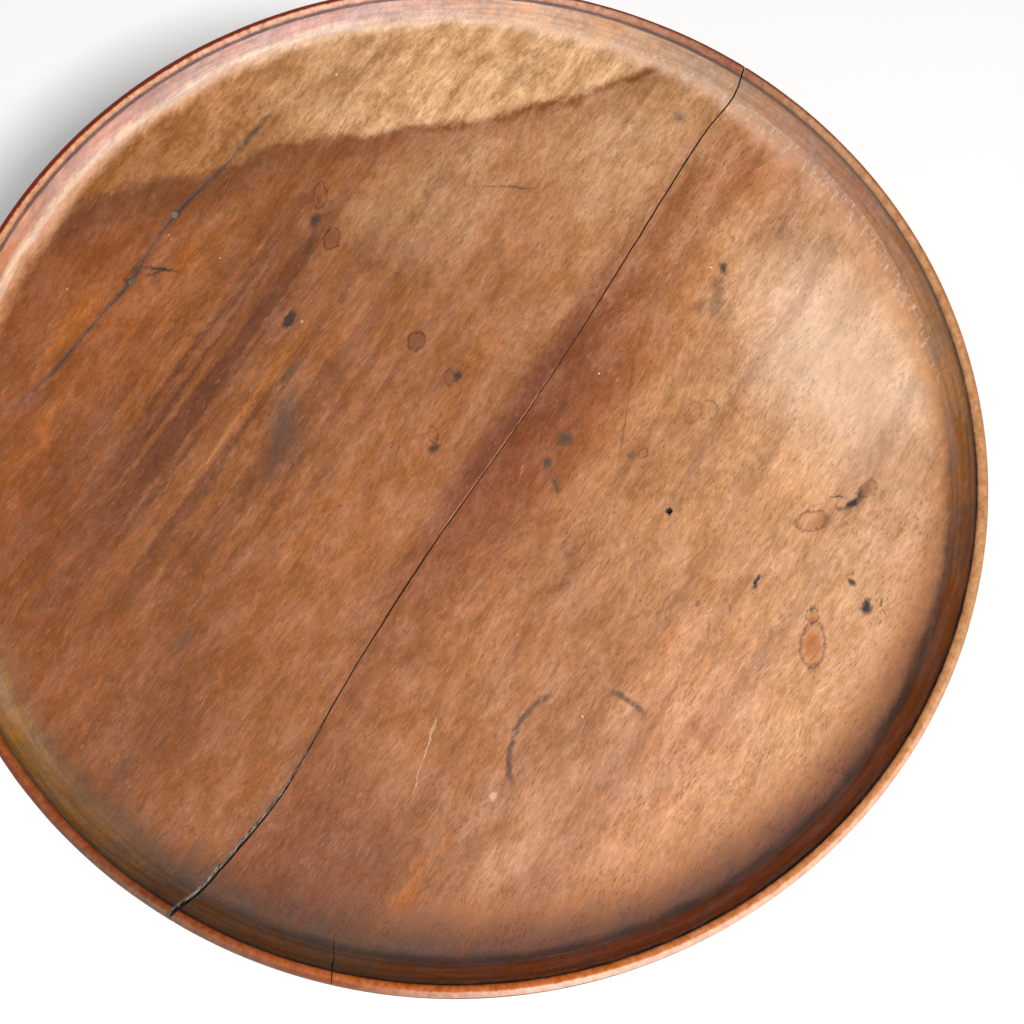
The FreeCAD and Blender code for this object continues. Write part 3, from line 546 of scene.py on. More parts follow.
def arc_group(name):
    """Part of a ring left by a wet glass."""
    inputs = [("Vector", "Vector"), ("Place", "Vector"), ("Radius", "Float"), ("Width", "Float")]
    inputs += [("Towards", "Vector"), ("Reach", "Float")]
    tree, sheet, given, taken = new_group(name, inputs, [("Mask", "Float")])
    local = sheet.vector("SUBTRACT", given["Vector"], given["Place"])
    local = sheet.stretched(local, LEVEL)
    far = sheet.vector("LENGTH", local, out=1)
    off = sheet.math("ABSOLUTE", sheet.minus(far, given["Radius"]))
    band = sheet.span(sheet.math("DIVIDE", off, given["Width"]), 0.2, 1.0, 1.0, 0.0)
    facing = sheet.vector("DOT_PRODUCT", sheet.vector("NORMALIZE", local), given["Towards"], out=1)
    lit = sheet.span(sheet.minus(facing, given["Reach"]), 0.0, 0.12)
    sheet.link(sheet.times(band, lit), taken["Mask"])
    return tree


def speck_group(name):
    """Sparse tiny specks, one to a cell and only in some cells."""
    inputs = [("Vector", "Vector"), ("Spacing", "Float"), ("Size", "Float"), ("Share", "Float")]
    tree, sheet, given, taken = new_group(name, inputs, [("Mask", "Float")])
    scale = sheet.math("DIVIDE", 1.0, given["Spacing"])
    flat = sheet.stretched(given["Vector"], LEVEL)
    cell = sheet.add("TexVoronoi", {"Vector": flat, "Scale": scale}).node
    far = sheet.times(cell.outputs["Distance"], given["Spacing"])
    dot = sheet.span(sheet.math("DIVIDE", far, given["Size"]), 0.5, 1.0, 1.0, 0.0)
    luck = sheet.add("SeparateColor", {0: cell.outputs["Color"]})
    kept = sheet.math("LESS_THAN", luck, given["Share"])
    sheet.link(sheet.times(dot, kept), taken["Mask"])
    return tree


def dust_group(name):
    """Dust that has settled on what faces up, in patches."""
    tree, sheet, given, taken = new_group(name, [("Vector", "Vector"), ("Amount", "Float")], [("Mask", "Float")])
    normal = sheet.add("NewGeometry", out=1)
    up = sheet.span(sheet.add("SeparateXYZ", {0: normal}, 2), 0.35, 0.95)
    patch = sheet.span(sheet.noise(given["Vector"], 0.06, 5.0, 0.7), 0.35, 0.75, 0.25, 1.0)
    held = sheet.times(up, patch)
    sheet.link(sheet.times(held, given["Amount"]), taken["Mask"])
    return tree


def grain_of(sheet, vector, band, sway):
    """The shared wood grain with the width of its growth bands and how far it wanders."""
    return sheet.group(shared("Wood grain", grain_group), {"Vector": vector, "Band": band, "Sway": sway}, None)


def new_material(name):
    """A material with an empty sheet, its shader and the object's place in millimetres."""
    made = bpy.data.materials.new(name)
    made.use_nodes = True
    made.node_tree.nodes.clear()
    sheet = Sheet(made.node_tree)
    shader = sheet.add("BsdfPrincipled").node
    end = sheet.tree.nodes.new("ShaderNodeOutputMaterial")
    sheet.link(shader.outputs[0], end.inputs[0])
    place = sheet.add("TexCoord", out=3)
    return made, sheet, shader, sheet.scaled(place, 1000.0)


def bumped(sheet, shader, height, distance, strength=1.0):
    values = {"Height": height, "Distance": distance * MM, "Strength": strength}
    normal = sheet.add("Bump", values)
    sheet.link(normal, shader.inputs["Normal"])


def colour(value):
    return tuple(value) + (1.0,)


def code(text):
    """Colour of a socket from a six-figure screen colour."""
    return colour(linear(text))


# Marks on the top. Columns: place X and Y, half length, half width, turn in degrees, softness, strength
INK_MARKS = [
    (13.5, 110.0, 6.8, 3.2, 5, 0.5, 0.9), (66.0, 130.0, 6.0, 3.8, 10, 0.8, 0.85),
    (52.0, 124.0, 11.0, 1.8, 15, 1.0, 0.6), (76.0, 134.0, 4.0, 2.0, 40, 0.9, 0.5),
    (34.0, 22.4, 5.0, 3.4, 10, 0.8, 0.9), (-4.3, 11.7, 4.8, 3.2, -20, 0.9, 0.85), (0.5, 13.6, 3.0, 1.8, 60, 0.9, 0.5),
    (30.6, -102.8, 1.9, 1.8, 0, 0.5, 1.0), (23.0, -156.4, 6.0, 1.7, 8, 0.7, 1.0),
    (82.4, -176.4, 5.6, 3.0, -30, 0.8, 1.1), (88.0, -177.6, 4.8, 3.2, 20, 0.9, 0.9),
    (77.0, -173.0, 5.0, 2.2, -60, 0.9, 0.6), (81.5, -168.6, 7.0, 1.0, -66, 0.9, 0.8),
    (72.0, -161.8, 5.0, 0.5, -38, 0.8, 0.3), (39.5, -208.0, 5.2, 4.2, 10, 0.8, 1.0),
    (43.5, -206.6, 3.4, 2.6, 60, 0.9, 0.7), (46.4, -212.8, 2.8, 0.9, 30, 0.7, 0.6),
    (43.0, -216.2, 2.6, 0.8, 40, 0.7, 0.6), (37.3, -216.8, 1.8, 0.9, 0, 0.7, 0.6),
    (34.5, -213.4, 1.3, 0.8, 0, 0.6, 0.5), (47.6, -195.0, 3.6, 2.0, 70, 0.8, 0.9),
    (51.6, -193.6, 2.8, 1.0, -20, 0.8, 0.6), (25.0, -186.0, 3.4, 2.4, 30, 0.8, 0.7),
    (30.0, 190.4, 2.9, 2.7, 0, 0.6, 0.7), (-13.0, 190.0, 3.2, 3.0, 0, 0.6, 0.75),
    (1.3, 179.9, 15.0, 1.5, -67, 0.9, 0.9), (-2.0, 181.0, 8.0, 1.4, -40, 0.9, 0.8),
    (-6.0, 190.0, 6.0, 4.4, -20, 1.0, 0.6), (30.6, -102.8, 3.4, 2.6, 20, 0.9, 0.5),
    (-20.0, 189.0, 16.0, 2.2, -8, 1.0, 0.5), (-232.0, -86.0, 7.0, 1.2, -33, 0.8, 0.8),
]
SLATE_MARKS = [
    (34.5, -40.0, 6.6, 5.4, 0, 0.9, 0.85), (19.0, -39.0, 4.8, 3.6, 20, 0.9, 0.9),
    (12.0, -49.0, 9.0, 3.0, 40, 1.0, 0.8), (157.0, -59.4, 4.6, 3.4, 30, 0.8, 0.95),
    (142.5, -64.2, 17.0, 5.4, 18, 0.8, 0.5), (92.5, -178.5, 5.2, 4.0, 0, 0.7, 0.4),
    (38.4, 50.2, 5.6, 4.4, 20, 0.4, 0.35), (62.0, 117.0, 6.6, 4.0, 15, 0.5, 0.3),
    (31.0, 26.0, 4.4, 3.0, 30, 0.5, 0.3), (133.0, -60.0, 8.0, 3.0, 0, 1.0, 0.5),
    (135.0, -72.0, 10.0, 8.0, 0, 1.0, 0.3), (-9.0, 93.5, 15.0, 2.6, -5, 1.0, 0.7),
    (-30.0, 85.0, 26.0, 9.0, 12, 1.0, 0.5), (-55.0, 74.0, 16.0, 4.0, 25, 1.0, 0.55),
    (-44.0, 69.0, 24.0, 10.0, 15, 1.0, 0.3), (-224.0, 83.0, 4.4, 3.2, 0, 0.9, 0.8),
    (218.5, 3.1, 5.5, 4.0, 0, 1.0, 0.7), (-2.0, -138.0, 3.4, 2.6, 20, 1.0, 0.6),
    (3.4, -152.7, 4.2, 1.6, 20, 0.9, 0.5), (-9.0, -147.8, 8.0, 1.0, 22, 0.9, 0.45),
    (137.6, 54.2, 13.5, 1.1, -63, 0.8, 0.7), (-38.0, 78.0, 22.0, 8.0, 20, 1.0, 0.4),
    (45.0, -72.0, 4.4, 3.4, 0, 1.0, 0.6), (60.0, 100.0, 60.0, 8.0, 6, 1.0, 0.25),
    (190.0, -80.0, 12.0, 16.0, 0, 1.0, 0.25), (-150.0, 59.0, 12.0, 4.0, 0, 1.0, 0.5),
    (-216.0, 48.0, 14.0, 6.0, 10, 1.0, 0.4),
]
RUSSET_MARKS = [
    (38.4, 50.2, 6.4, 5.0, 20, 0.4, 0.9), (62.0, 117.0, 7.4, 4.6, 15, 0.5, 0.9),
    (79.2, 135.7, 9.0, 4.0, 30, 0.9, 0.7), (10.0, -195.0, 14.0, 7.0, 24, 0.8, 0.6),
    (22.6, -187.8, 4.6, 3.4, 0, 0.5, 0.6), (64.0, -164.0, 10.0, 6.0, -40, 0.3, 0.5),
    (93.5, -179.3, 6.0, 4.4, 0, 0.3, 0.6), (-6.0, -72.0, 12.0, 5.0, 0, 1.0, 0.3),
    (81.0, -86.0, 7.0, 5.0, 0, 0.4, 0.35), (31.0, 26.0, 5.0, 3.4, 30, 0.5, 0.7), (1.0, 16.0, 5.4, 3.0, 40, 0.5, 0.7),
    (49.0, -76.0, 3.4, 2.8, 0, 0.5, 0.6),
]
PALE_MARKS = [
    (-133.3, -104.6, 3.2, 2.2, 0, 0.7, 0.55), (-128.0, -65.5, 12.5, 0.5, 14, 0.6, 0.55),
    (-146.0, -70.3, 11.0, 0.45, 19, 0.6, 0.4), (-120.5, -63.0, 6.0, 0.4, 8, 0.6, 0.4),
    (16.0, 104.0, 1.2, 0.8, 0, 0.6, 0.5),
]
FINE_LINES = [
    (66.0, -57.0, 40.0, 0.5, 24, 0.5, 0.4), (44.0, -66.0, 22.0, 0.4, 22, 0.5, 0.3),
    (131.0, 65.0, 7.0, 0.4, -62, 0.5, 0.6),
]
ORANGE_MARKS = [
    (-196.0, -92.5, 40.0, 6.0, 2, 0.9, 0.8), (-165.0, -95.0, 12.0, 5.0, 5, 0.9, 0.5),
    (-147.0, -120.0, 13.0, 3.0, -5, 0.9, 0.4), (8.0, -196.0, 14.0, 6.6, 24, 0.7, 0.6),
    (22.0, -188.0, 4.6, 3.6, 0, 0.6, 0.6), (-50.0, 196.0, 34.0, 12.0, 8, 1.0, 0.6),
    (-100.0, 176.0, 50.0, 9.0, 4, 1.0, 0.55), (20.0, 176.0, 26.0, 10.0, 4, 1.0, 0.45),
    (-60.0, 150.0, 70.0, 6.0, 4, 1.0, 0.4), (-150.0, 130.0, 60.0, 7.0, 4, 1.0, 0.4),
    (50.0, 20.0, 60.0, 12.0, 0, 1.0, 0.3), (-20.0, -140.0, 40.0, 10.0, 4, 1.0, 0.35),
]
# Colours of the dish from its back left to its front right: share of the way, and screen colour
LEFT_TO_RIGHT = (
    (0.0, "76401E"), (0.18, "844E29"), (0.40, "905A36"), (0.58, "9A6642"), (0.72, "A87650"), (0.86, "BA8A64"),
    (1.0, "BE906E"),
)
# Broad patches over them. Columns: screen colour, place X and Y, half length, half width, turn in degrees, strength
BROAD_PATCHES = (
    ("B4906E", 190.0, 20.0, 80.0, 80.0, 0.0, 0.5), ("8A4E2A", -60.0, 190.0, 150.0, 60.0, 0.0, 0.8),
    ("683C22", 0.0, 120.0, 100.0, 34.0, 0.0, 0.6), ("6C3A1C", -210.0, -62.0, 75.0, 60.0, 0.0, 0.8),
    ("C08A68", -140.0, -128.0, 75.0, 42.0, 0.0, 0.55), ("DCB898", 150.0, -168.0, 48.0, 34.0, 50.0, 0.6),
    ("6A3418", -30.0, 172.0, 40.0, 14.0, 0.0, 0.5), ("8A4E2C", 60.0, -45.0, 130.0, 34.0, 0.0, 0.7),
    ("965636", 215.0, -40.0, 50.0, 40.0, 0.0, 0.6), ("A66F4C", -60.0, -90.0, 80.0, 60.0, 0.0, 0.5),
    ("D0AC90", 152.0, -112.0, 92.0, 50.0, 40.0, 0.8), ("5A3018", 8.0, 236.0, 60.0, 22.0, -20.0, 0.8),
    ("6E3A1C", -228.0, -60.0, 40.0, 50.0, 0.0, 0.8), ("8A5232", 176.0, -24.0, 66.0, 20.0, 0.0, 0.6),
    ("B08A66", 120.0, 90.0, 80.0, 40.0, -20.0, 0.5), ("C28A68", -70.0, -165.0, 110.0, 50.0, 0.0, 0.75),
    ("74401F", -160.0, 45.0, 90.0, 60.0, 0.0, 0.5), ("6E361A", 0.0, -22.0, 110.0, 36.0, 0.0, 0.7),
    ("A87C5C", 110.0, 70.0, 60.0, 45.0, 0.0, 0.5), ("9A6C4C", 200.0, -72.0, 50.0, 44.0, 0.0, 0.6),
)
# How far the tone of the cove runs into the dish: share of a turn, and width
FRINGE_WIDTHS = (
    (0.0, 16.0), (0.06, 17.0), (0.13, 13.0), (0.20, 13.0), (0.26, 11.0), (0.32, 8.5), (0.37, 8.5), (0.44, 12.0),
    (0.51, 7.0), (0.60, 4.5), (0.70, 4.5), (0.80, 6.0), (0.90, 9.0), (1.0, 12.0),
)
# Arcs left by wet glasses. Columns: centre X and Y, radius, width, X and Y of the way the arc faces, reach, strength
GLASS_RINGS = (
    (-97.0, -133.0, 36.4, 2.5, -0.14, 0.99, 0.72, 0.75),
    (-97.0, -133.0, 36.4, 2.3, 1.0, -0.04, 0.91, 0.85),
    (86.0, -91.5, 5.2, 1.0, 0.5, -0.86, -0.4, 0.35),
)


def marks(sheet, vector, rows, rim=False):
    """All the marks of one kind as one mask."""
    tree = shared("Dried stain", stain_group)
    result = 0.0
    for x, y, half_length, half_width, turn, softness, strength in rows:
        cos, sin = math.cos(math.radians(turn)), math.sin(math.radians(turn))
        values = {
            "Vector": vector,
            "Place": (x, y, 0.0),
            "Along": (cos / half_length, sin / half_length, 0.0),
            "Across": (-sin / half_width, cos / half_width, 0.0),
            "Softness": softness,
        }
        result = sheet.math("MULTIPLY_ADD", sheet.group(tree, values, 1 if rim else 0), strength, result)
    return sheet.add("Clamp", {0: result})


def patch(sheet, vector, x, y, half_length, half_width, turn=0.0, strength=1.0):
    """Soft region of the top."""
    return marks(sheet, vector, [(x, y, half_length, half_width, turn, 1.0, strength)])


def mottled(sheet, tone, mask, low, high, light, dark, pale=None, rich=None):
    """The tone made lighter where a mask is low and darker where it is high, and duller or richer with it."""
    saturation = 1.0 if pale is None else sheet.span(mask, low, high, pale, rich)
    return sheet.shaded(tone, sheet.span(mask, low, high, light, dark), saturation)


def near(sheet, value, middle, half, softness=1.0):
    """Mask that is full at a value and gone at a distance from it."""
    off = sheet.math("ABSOLUTE", sheet.minus(value, middle))
    return sheet.span(off, half * (1 - softness), half, 1.0, 0.0)


# Colours round the rim: share of a turn from the left end of the grain by way of the front, and screen colour.
# Besides the wood's own colours, grime and wear, they hold painted light and shade. Near 0.1 to 0.3 of a turn,
# on the key light's side, the cove, fringe and quirk carry painted shade where the lip shades them, and the
# outer side carries a painted highlight. Round 0.5 to 0.8 the cove, fringe and lip are lighter with painted light,
# the fringe carries a painted highlight, and the outer side carries painted shade.
COVE_TONES = (
    (0.0, "4C301C"), (0.06, "50301C"), (0.12, "5C2C16"), (0.20, "5A2A14"), (0.26, "5A2E18"), (0.32, "6C4024"),
    (0.38, "8E6646"), (0.45, "946C58"), (0.50, "A08068"), (0.56, "BC967A"), (0.62, "BE9890"), (0.70, "B89084"),
    (0.79, "B88060"), (0.87, "A47A52"), (0.94, "7E5834"), (1.0, "4C301C"),
)
FRINGE_TONES = (
    (0.0, "472A17"), (0.06, "482612"), (0.12, "4C240F"), (0.20, "50260F"), (0.27, "6C4022"), (0.38, "AE7648"),
    (0.46, "B4866A"), (0.52, "C8A086"), (0.60, "E0C0A0"), (0.70, "D8A884"), (0.80, "B88058"), (0.90, "805230"),
    (1.0, "472A17"),
)
LIP_TONES = (
    (0.0, "6E3820"), (0.06, "A0542C"), (0.12, "AC5E32"), (0.20, "B87A50"), (0.29, "B08058"), (0.40, "B08058"),
    (0.465, "A67C5C"), (0.495, "885440"), (0.53, "A87860"), (0.60, "D2A490"), (0.72, "CC9874"), (0.82, "B27A52"),
    (0.92, "8C4A28"), (1.0, "6E3820"),
)
SIDE_TONES = (
    (0.0, "6E5444"), (0.06, "844628"), (0.11, "DDB09A"), (0.22, "DCAA90"), (0.29, "B98860"), (0.40, "A86E48"),
    (0.49, "683220"), (0.60, "7A2E1A"), (0.70, "6A200E"), (0.80, "6A200E"), (0.92, "742E18"), (1.0, "6E5444"),
)
QUIRK_TONES = (
    (0.0, "302016"), (0.06, "2C1D12"), (0.12, "2E1910"), (0.17, "1C100A"), (0.23, "1C100A"), (0.29, "341C14"),
    (0.36, "584438"), (0.44, "78655A"), (0.50, "70584E"), (0.60, "786468"), (0.72, "6A565A"), (0.92, "58442F"),
    (1.0, "302016"),
)


def toned(sheet, value, stops):
    """Colour that runs through (share, screen colour) stops."""
    ramp = sheet.add("ValToRGB", {0: value})
    band = ramp.node.color_ramp
    band.elements[0].color = code(stops[0][1])
    band.elements[1].color = code(stops[-1][1])
    for at, shade in stops[1:-1]:
        band.elements.new(at).color = code(shade)
    return ramp


def turn_group(name):
    """Share of a turn round the table, a little uneven as old wear is."""
    tree, sheet, given, taken = new_group(name, [("Vector", "Vector")], [("Share", "Float")])
    x, y, _ = sheet.parts(given["Vector"])
    share_here = sheet.math("MULTIPLY_ADD", sheet.math("ARCTAN2", y, x), 1 / math.tau, 0.485)
    uneven = sheet.noise(given["Vector"], 0.03, 4.0, 0.6)
    sheet.link(sheet.math("MULTIPLY_ADD", uneven, 0.03, share_here), taken["Share"])
    return tree


def cove_group(name):
    """Tone of the hollow inside the rim, which changes with its direction and its wear, and holds painted shade on the
    key light's side and a painted highlight on the far side.
    """
    inputs = [("Vector", "Vector"), ("Share", "Float"), ("Mottle", "Float")]
    tree, sheet, given, taken = new_group(name, inputs, [("Colour", "Color")])
    tone = toned(sheet, given["Share"], COVE_TONES)
    radius = sheet.radius(given["Vector"])
    cloud = sheet.noise(sheet.stretched(given["Vector"], (0.6, 1.0, 1.0)), 0.08, 5.0, 0.7, 0.4)
    uneven = sheet.math("MULTIPLY_ADD", cloud, 5.0, sheet.minus(radius, 2.5))
    # Painted cast shadow of the lip, with some grime: the inner cove and the blend darkened near 0.16 of a turn, on the
    # key light's side.
    grime = sheet.times(near(sheet, uneven, TOP_RADIUS - 17.0, 6.0), near(sheet, given["Share"], 0.16, 0.2, 0.5), 0.85)
    tone = sheet.tint(tone, "24130A", grime)
    # Painted highlight: a pale band on the inner part of the cove round 0.7 of a turn, where the cove faces the key
    # light.
    painted_highlight = sheet.times(near(sheet, uneven, TOP_RADIUS - 14.5, 3.5), near(sheet, given["Share"], 0.7, 0.14, 0.6), 0.6)
    tone = sheet.tint(tone, "E6CCB2", painted_highlight)
    round_it = sheet.add("CombineXYZ", {0: radius, 1: sheet.times(given["Share"], 90.0), 2: 0.0})
    lines = sheet.noise(round_it, 0.5, 5.0, 0.6, 0.4)
    tone = mottled(sheet, tone, lines, 0.3, 0.7, 1.12, 0.88, 0.88, 1.1)
    tone = mottled(sheet, tone, cloud, 0.3, 0.7, 1.18, 0.82, 1.1, 0.9)
    tone = mottled(sheet, tone, given["Mottle"], 0.3, 0.7, 1.18, 0.82)
    sheet.link(tone, taken["Colour"])
    return tree


def tide_tones(sheet, tone, torn, place, blotch):
    """The faded band at the back right, its tide line and the dark wash in front of it."""
    diagonal = math.sqrt(0.5)
    lumpy = sheet.vector("ADD", torn, sheet.swirl(place, 0.065, 13.0, 3.0, 0.65))
    along = sheet.vector("DOT_PRODUCT", lumpy, (diagonal, -diagonal, 0.0), out=1)
    across = sheet.vector("DOT_PRODUCT", lumpy, (diagonal, diagonal, 0.0), out=1)
    tide = [(-200.0, 169.0), (-171.0, 171.0), (-136.0, 175.0), (-110.0, 174.0), (-88.0, 173.0), (-55.0, 181.5)]
    tide += [(-20.0, 180.0), (0.0, 176.5), (18.0, 178.5), (46.0, 175.5), (75.0, 177.0), (107.0, 179.0), (134.0, 185.0)]
    tide += [(160.0, 192.0)]
    past = sheet.minus(across, sheet.curve(along, tide, 140.0, 200.0))
    light = sheet.mix(sheet.span(along, -120.0, 40.0), code("A8703F"), code("D0A67C"))
    dull = sheet.mix(sheet.span(along, -120.0, 40.0), code("905C34"), code("BA8F66"))
    band_tone = sheet.mix(sheet.span(blotch, 0.35, 0.65), light, dull)
    tone = sheet.mix(sheet.span(past, -6.0, 8.0, 0.0, 0.8), tone, band_tone)
    wash = sheet.times(sheet.span(past, -26.0, -2.0), sheet.span(past, 6.0, -3.0))
    tone = sheet.tint(tone, "6E3F20", wash, sheet.span(along, 40.0, -40.0, 0.3, 0.7))
    line = sheet.times(near(sheet, past, 0.0, 5.0), sheet.span(blotch, 0.3, 0.6, 0.45, 1.0))
    return sheet.tint(tone, "744322", line)


def dried_marks(sheet, tone, torn, place, fine, finish):
    """Ink spots, blue-grey spots, reddish rings, glass rings, scratches and specks."""
    crumbled = sheet.vector("ADD", torn, sheet.swirl(place, 0.4, 3.0, 2.0, 0.6))
    tone = sheet.tint(tone, "8C4820", marks(sheet, crumbled, RUSSET_MARKS), 0.5)
    edges = sheet.times(marks(sheet, crumbled, RUSSET_MARKS, True), sheet.span(fine, 0.36, 0.56, 0.45, 1.0))
    tone = sheet.tint(tone, "4A2014", edges)
    tone = sheet.mix(marks(sheet, crumbled, SLATE_MARKS), tone, colour(finish.slate))
    tone = sheet.mix(marks(sheet, crumbled, INK_MARKS), tone, colour(finish.soot))
    tone = sheet.tint(tone, "50301F", marks(sheet, place, FINE_LINES))
    tone = sheet.tint(tone, "DDBBA0", marks(sheet, torn, PALE_MARKS))
    ring = shared("Glass ring", arc_group)
    rings = []
    for px, py, r, w, dx, dy, reach, strength in GLASS_RINGS:
        values = {"Vector": torn, "Place": (px, py, 0.0), "Radius": r, "Width": w}
        values.update({"Towards": (dx, dy, 0.0), "Reach": reach})
        rings.append(sheet.times(sheet.group(ring, values), strength))
    tone = sheet.tint(tone, "3A2A26", sheet.total(rings), sheet.span(fine, 0.3, 0.5))
    tiny = sheet.group(shared("Specks", speck_group), {"Vector": torn, "Spacing": 17.0, "Size": 0.55, "Share": 0.4})
    return sheet.tint(tone, "F0E0D2", tiny, 0.8)


def on_top(rows):
    """Places of a table's rows on the top."""
    return [(TOP_RADIUS * row[0], TOP_RADIUS * row[1]) for row in rows]


def crack_tones(sheet, tone, x, y, blotch):
    """Dark reddish wood in front of the split and grime beside the second crack."""
    off = sheet.minus(y, sheet.curve(x, on_top(SPLIT_ROWS), -25.0, 0.0))
    soft = sheet.span(blotch, 0.25, 0.55, 0.45, 1.0)
    ahead = sheet.times(sheet.span(off, -46.0, -4.0), sheet.span(off, 0.4, -0.4), soft)
    middle = sheet.times(sheet.span(x, -60.0, 40.0, 0.35, 0.8), sheet.span(x, 210.0, 90.0, 0.2, 1.0))
    tone = sheet.tint(tone, "70381A", ahead, middle)
    behind = sheet.times(sheet.span(off, 16.0, 2.0), sheet.span(off, -0.4, 0.4), near(sheet, x, 50.0, 190.0), soft)
    tone = sheet.tint(tone, "6A3420", behind, 0.85)
    worn = sheet.times(near(sheet, off, 0.4, 0.35), near(sheet, x, 5.0, 60.0, 0.4), sheet.span(blotch, 0.3, 0.5))
    tone = sheet.tint(tone, "D69A70", worn, 0.6)
    by_crack = sheet.minus(y, sheet.curve(x, on_top(CRACK_ROWS), 180.0, 210.0))
    beside = sheet.times(near(sheet, by_crack, 0.0, 2.8), near(sheet, x, 0.0, 125.0, 0.3))
    return sheet.tint(tone, "4A3A36", beside, sheet.span(blotch, 0.34, 0.6, 0.15, 0.8))


def floor_material(finish):
    """Old stained mahogany of the dish: faded, blotched and ringed."""
    made, sheet, shader, place = new_material("old_mahogany_dish")
    grain = grain_of(sheet, place, 14.0, 16.0)
    x, y, _ = sheet.parts(place)
    radius = sheet.radius(place)
    torn = sheet.vector("ADD", place, sheet.swirl(place, 0.22, 4.0, 4.0, 0.65))
    loose = sheet.vector("ADD", torn, sheet.swirl(place, 0.022, 40.0, 4.0))
    blotch = sheet.noise(sheet.stretched(place, (0.5, 1.0, 1.0)), 0.075, 8.0, 0.72, 0.3)
    cloud = sheet.noise(sheet.stretched(place, (0.7, 1.0, 1.0)), 0.013, 2.0, 0.5)
    fine = grain["Mottle"]

    # Broad tones, from the brown left end to the pale right as the camera sees them: mostly the wood's own tone, partly
    # painted light that grows towards the key light's side
    across = sheet.vector("DOT_PRODUCT", loose, (0.533, -0.846, 0.0), out=1)
    level = sheet.add("MapRange", {0: across, 1: -230.0, 2: 230.0, 3: 0.0, 4: 1.0})
    tone = toned(sheet, level, LEFT_TO_RIGHT)
    for shade, px, py, half_length, half_width, turn, strength in BROAD_PATCHES:
        tone = sheet.tint(tone, shade, patch(sheet, loose, px, py, half_length, half_width, turn, strength))
    tone = tide_tones(sheet, tone, torn, place, blotch)
    tone = sheet.tint(tone, "A5602A", marks(sheet, loose, ORANGE_MARKS))

    # Long soft streaks at the left, growth bands, clouds, fibres and pores
    streaky = patch(sheet, loose, -40.0, 120.0, 210.0, 110.0)
    streak = sheet.noise(sheet.stretched(torn, (0.035, 1.0, 1.0)), 0.085, 5.0, 0.62)
    tone = sheet.tint(tone, "582C14", sheet.span(streak, 0.50, 0.60), streaky, 0.85)
    tone = sheet.tint(tone, "B4703A", sheet.span(streak, 0.48, 0.34), streaky, 0.5)
    tone = sheet.tint(tone, "6A3A1E", sheet.span(grain["Figure"], 0.5, 0.66), 0.35)
    tone = crack_tones(sheet, tone, x, y, blotch)
    tone = mottled(sheet, tone, cloud, 0.3, 0.7, 1.10, 0.90)
    tone = mottled(sheet, tone, blotch, 0.3, 0.7, 1.20, 0.80, 0.92, 1.08)
    tone = mottled(sheet, tone, fine, 0.28, 0.72, 1.26, 0.75)
    tone = mottled(sheet, tone, grain["Fibre"], 0.28, 0.72, 1.15, 0.85)
    tone = sheet.tint(tone, "603418", grain["Pore"], 0.5)
    tone = sheet.tint(tone, "DEB48E", grain["Fleck"], 0.22)
    tone = sheet.tint(tone, "D0AE92", patch(sheet, loose, 145.0, -135.0, 95.0, 60.0, 40.0, 0.5))
    tone = dried_marks(sheet, tone, torn, place, fine, finish)

    # Edge of the floor, which melts into the tone of the cove. Near 0.1 to 0.3 of a turn the fringe carries painted
    # shadow and the warm band inside it is that painted shadow's soft edge; round 0.5 to 0.7 the fringe carries a
    # painted highlight.
    turn = sheet.group(shared("Round the rim", turn_group), {"Vector": place})
    width = sheet.curve(turn, FRINGE_WIDTHS, 0.0, 30.0)
    inside = sheet.math("DIVIDE", sheet.minus(TOP_RADIUS - 15.0, radius), width)
    inside = sheet.math("MULTIPLY_ADD", sheet.minus(blotch, 0.5), 1.8, inside)
    fringe = sheet.shaded(toned(sheet, turn, FRINGE_TONES), sheet.span(blotch, 0.3, 0.7, 1.2, 0.8))
    fringe = mottled(sheet, fringe, fine, 0.3, 0.7, 1.2, 0.8)
    warm = sheet.times(sheet.span(inside, 3.0, 0.8), near(sheet, turn, 0.19, 0.17, 0.5), 0.6)
    tone = sheet.tint(tone, "8C4E24", warm)
    tone = sheet.mix(sheet.span(inside, 0.3, 1.9, 0.85, 0.0), tone, fringe)
    cove = sheet.group(shared("Cove tone", cove_group), {"Vector": place, "Share": turn, "Mottle": fine})
    tone = sheet.mix(sheet.span(inside, 0.0, 0.8, 1.0, 0.0), tone, cove)
    flake = sheet.times(near(sheet, turn, 0.47, 0.13, 0.4), near(sheet, inside, 0.4, 1.0, 0.8))
    tone = sheet.tint(tone, "EECBB0", flake, sheet.span(fine, 0.46, 0.66), 0.5)
    sheet.link(sheet.shaded(tone, 0.98, 1.04), shader.inputs["Base Color"])
    rough = sheet.blend(sheet.span(inside, 0.3, 1.8, 0.7, 0.0), sheet.span(blotch, 0.3, 0.75, 0.42, 0.6), 0.62)
    sheet.link(rough, shader.inputs["Roughness"])
    height = sheet.times(grain["Pore"], -0.8)
    height = sheet.math("MULTIPLY_ADD", grain["Fibre"], 0.45, height)
    height = sheet.math("MULTIPLY_ADD", fine, 0.6, height)
    bumped(sheet, shader, height, 0.28, 0.8)
    shader.inputs["Specular IOR Level"].default_value = 0.4
    return made


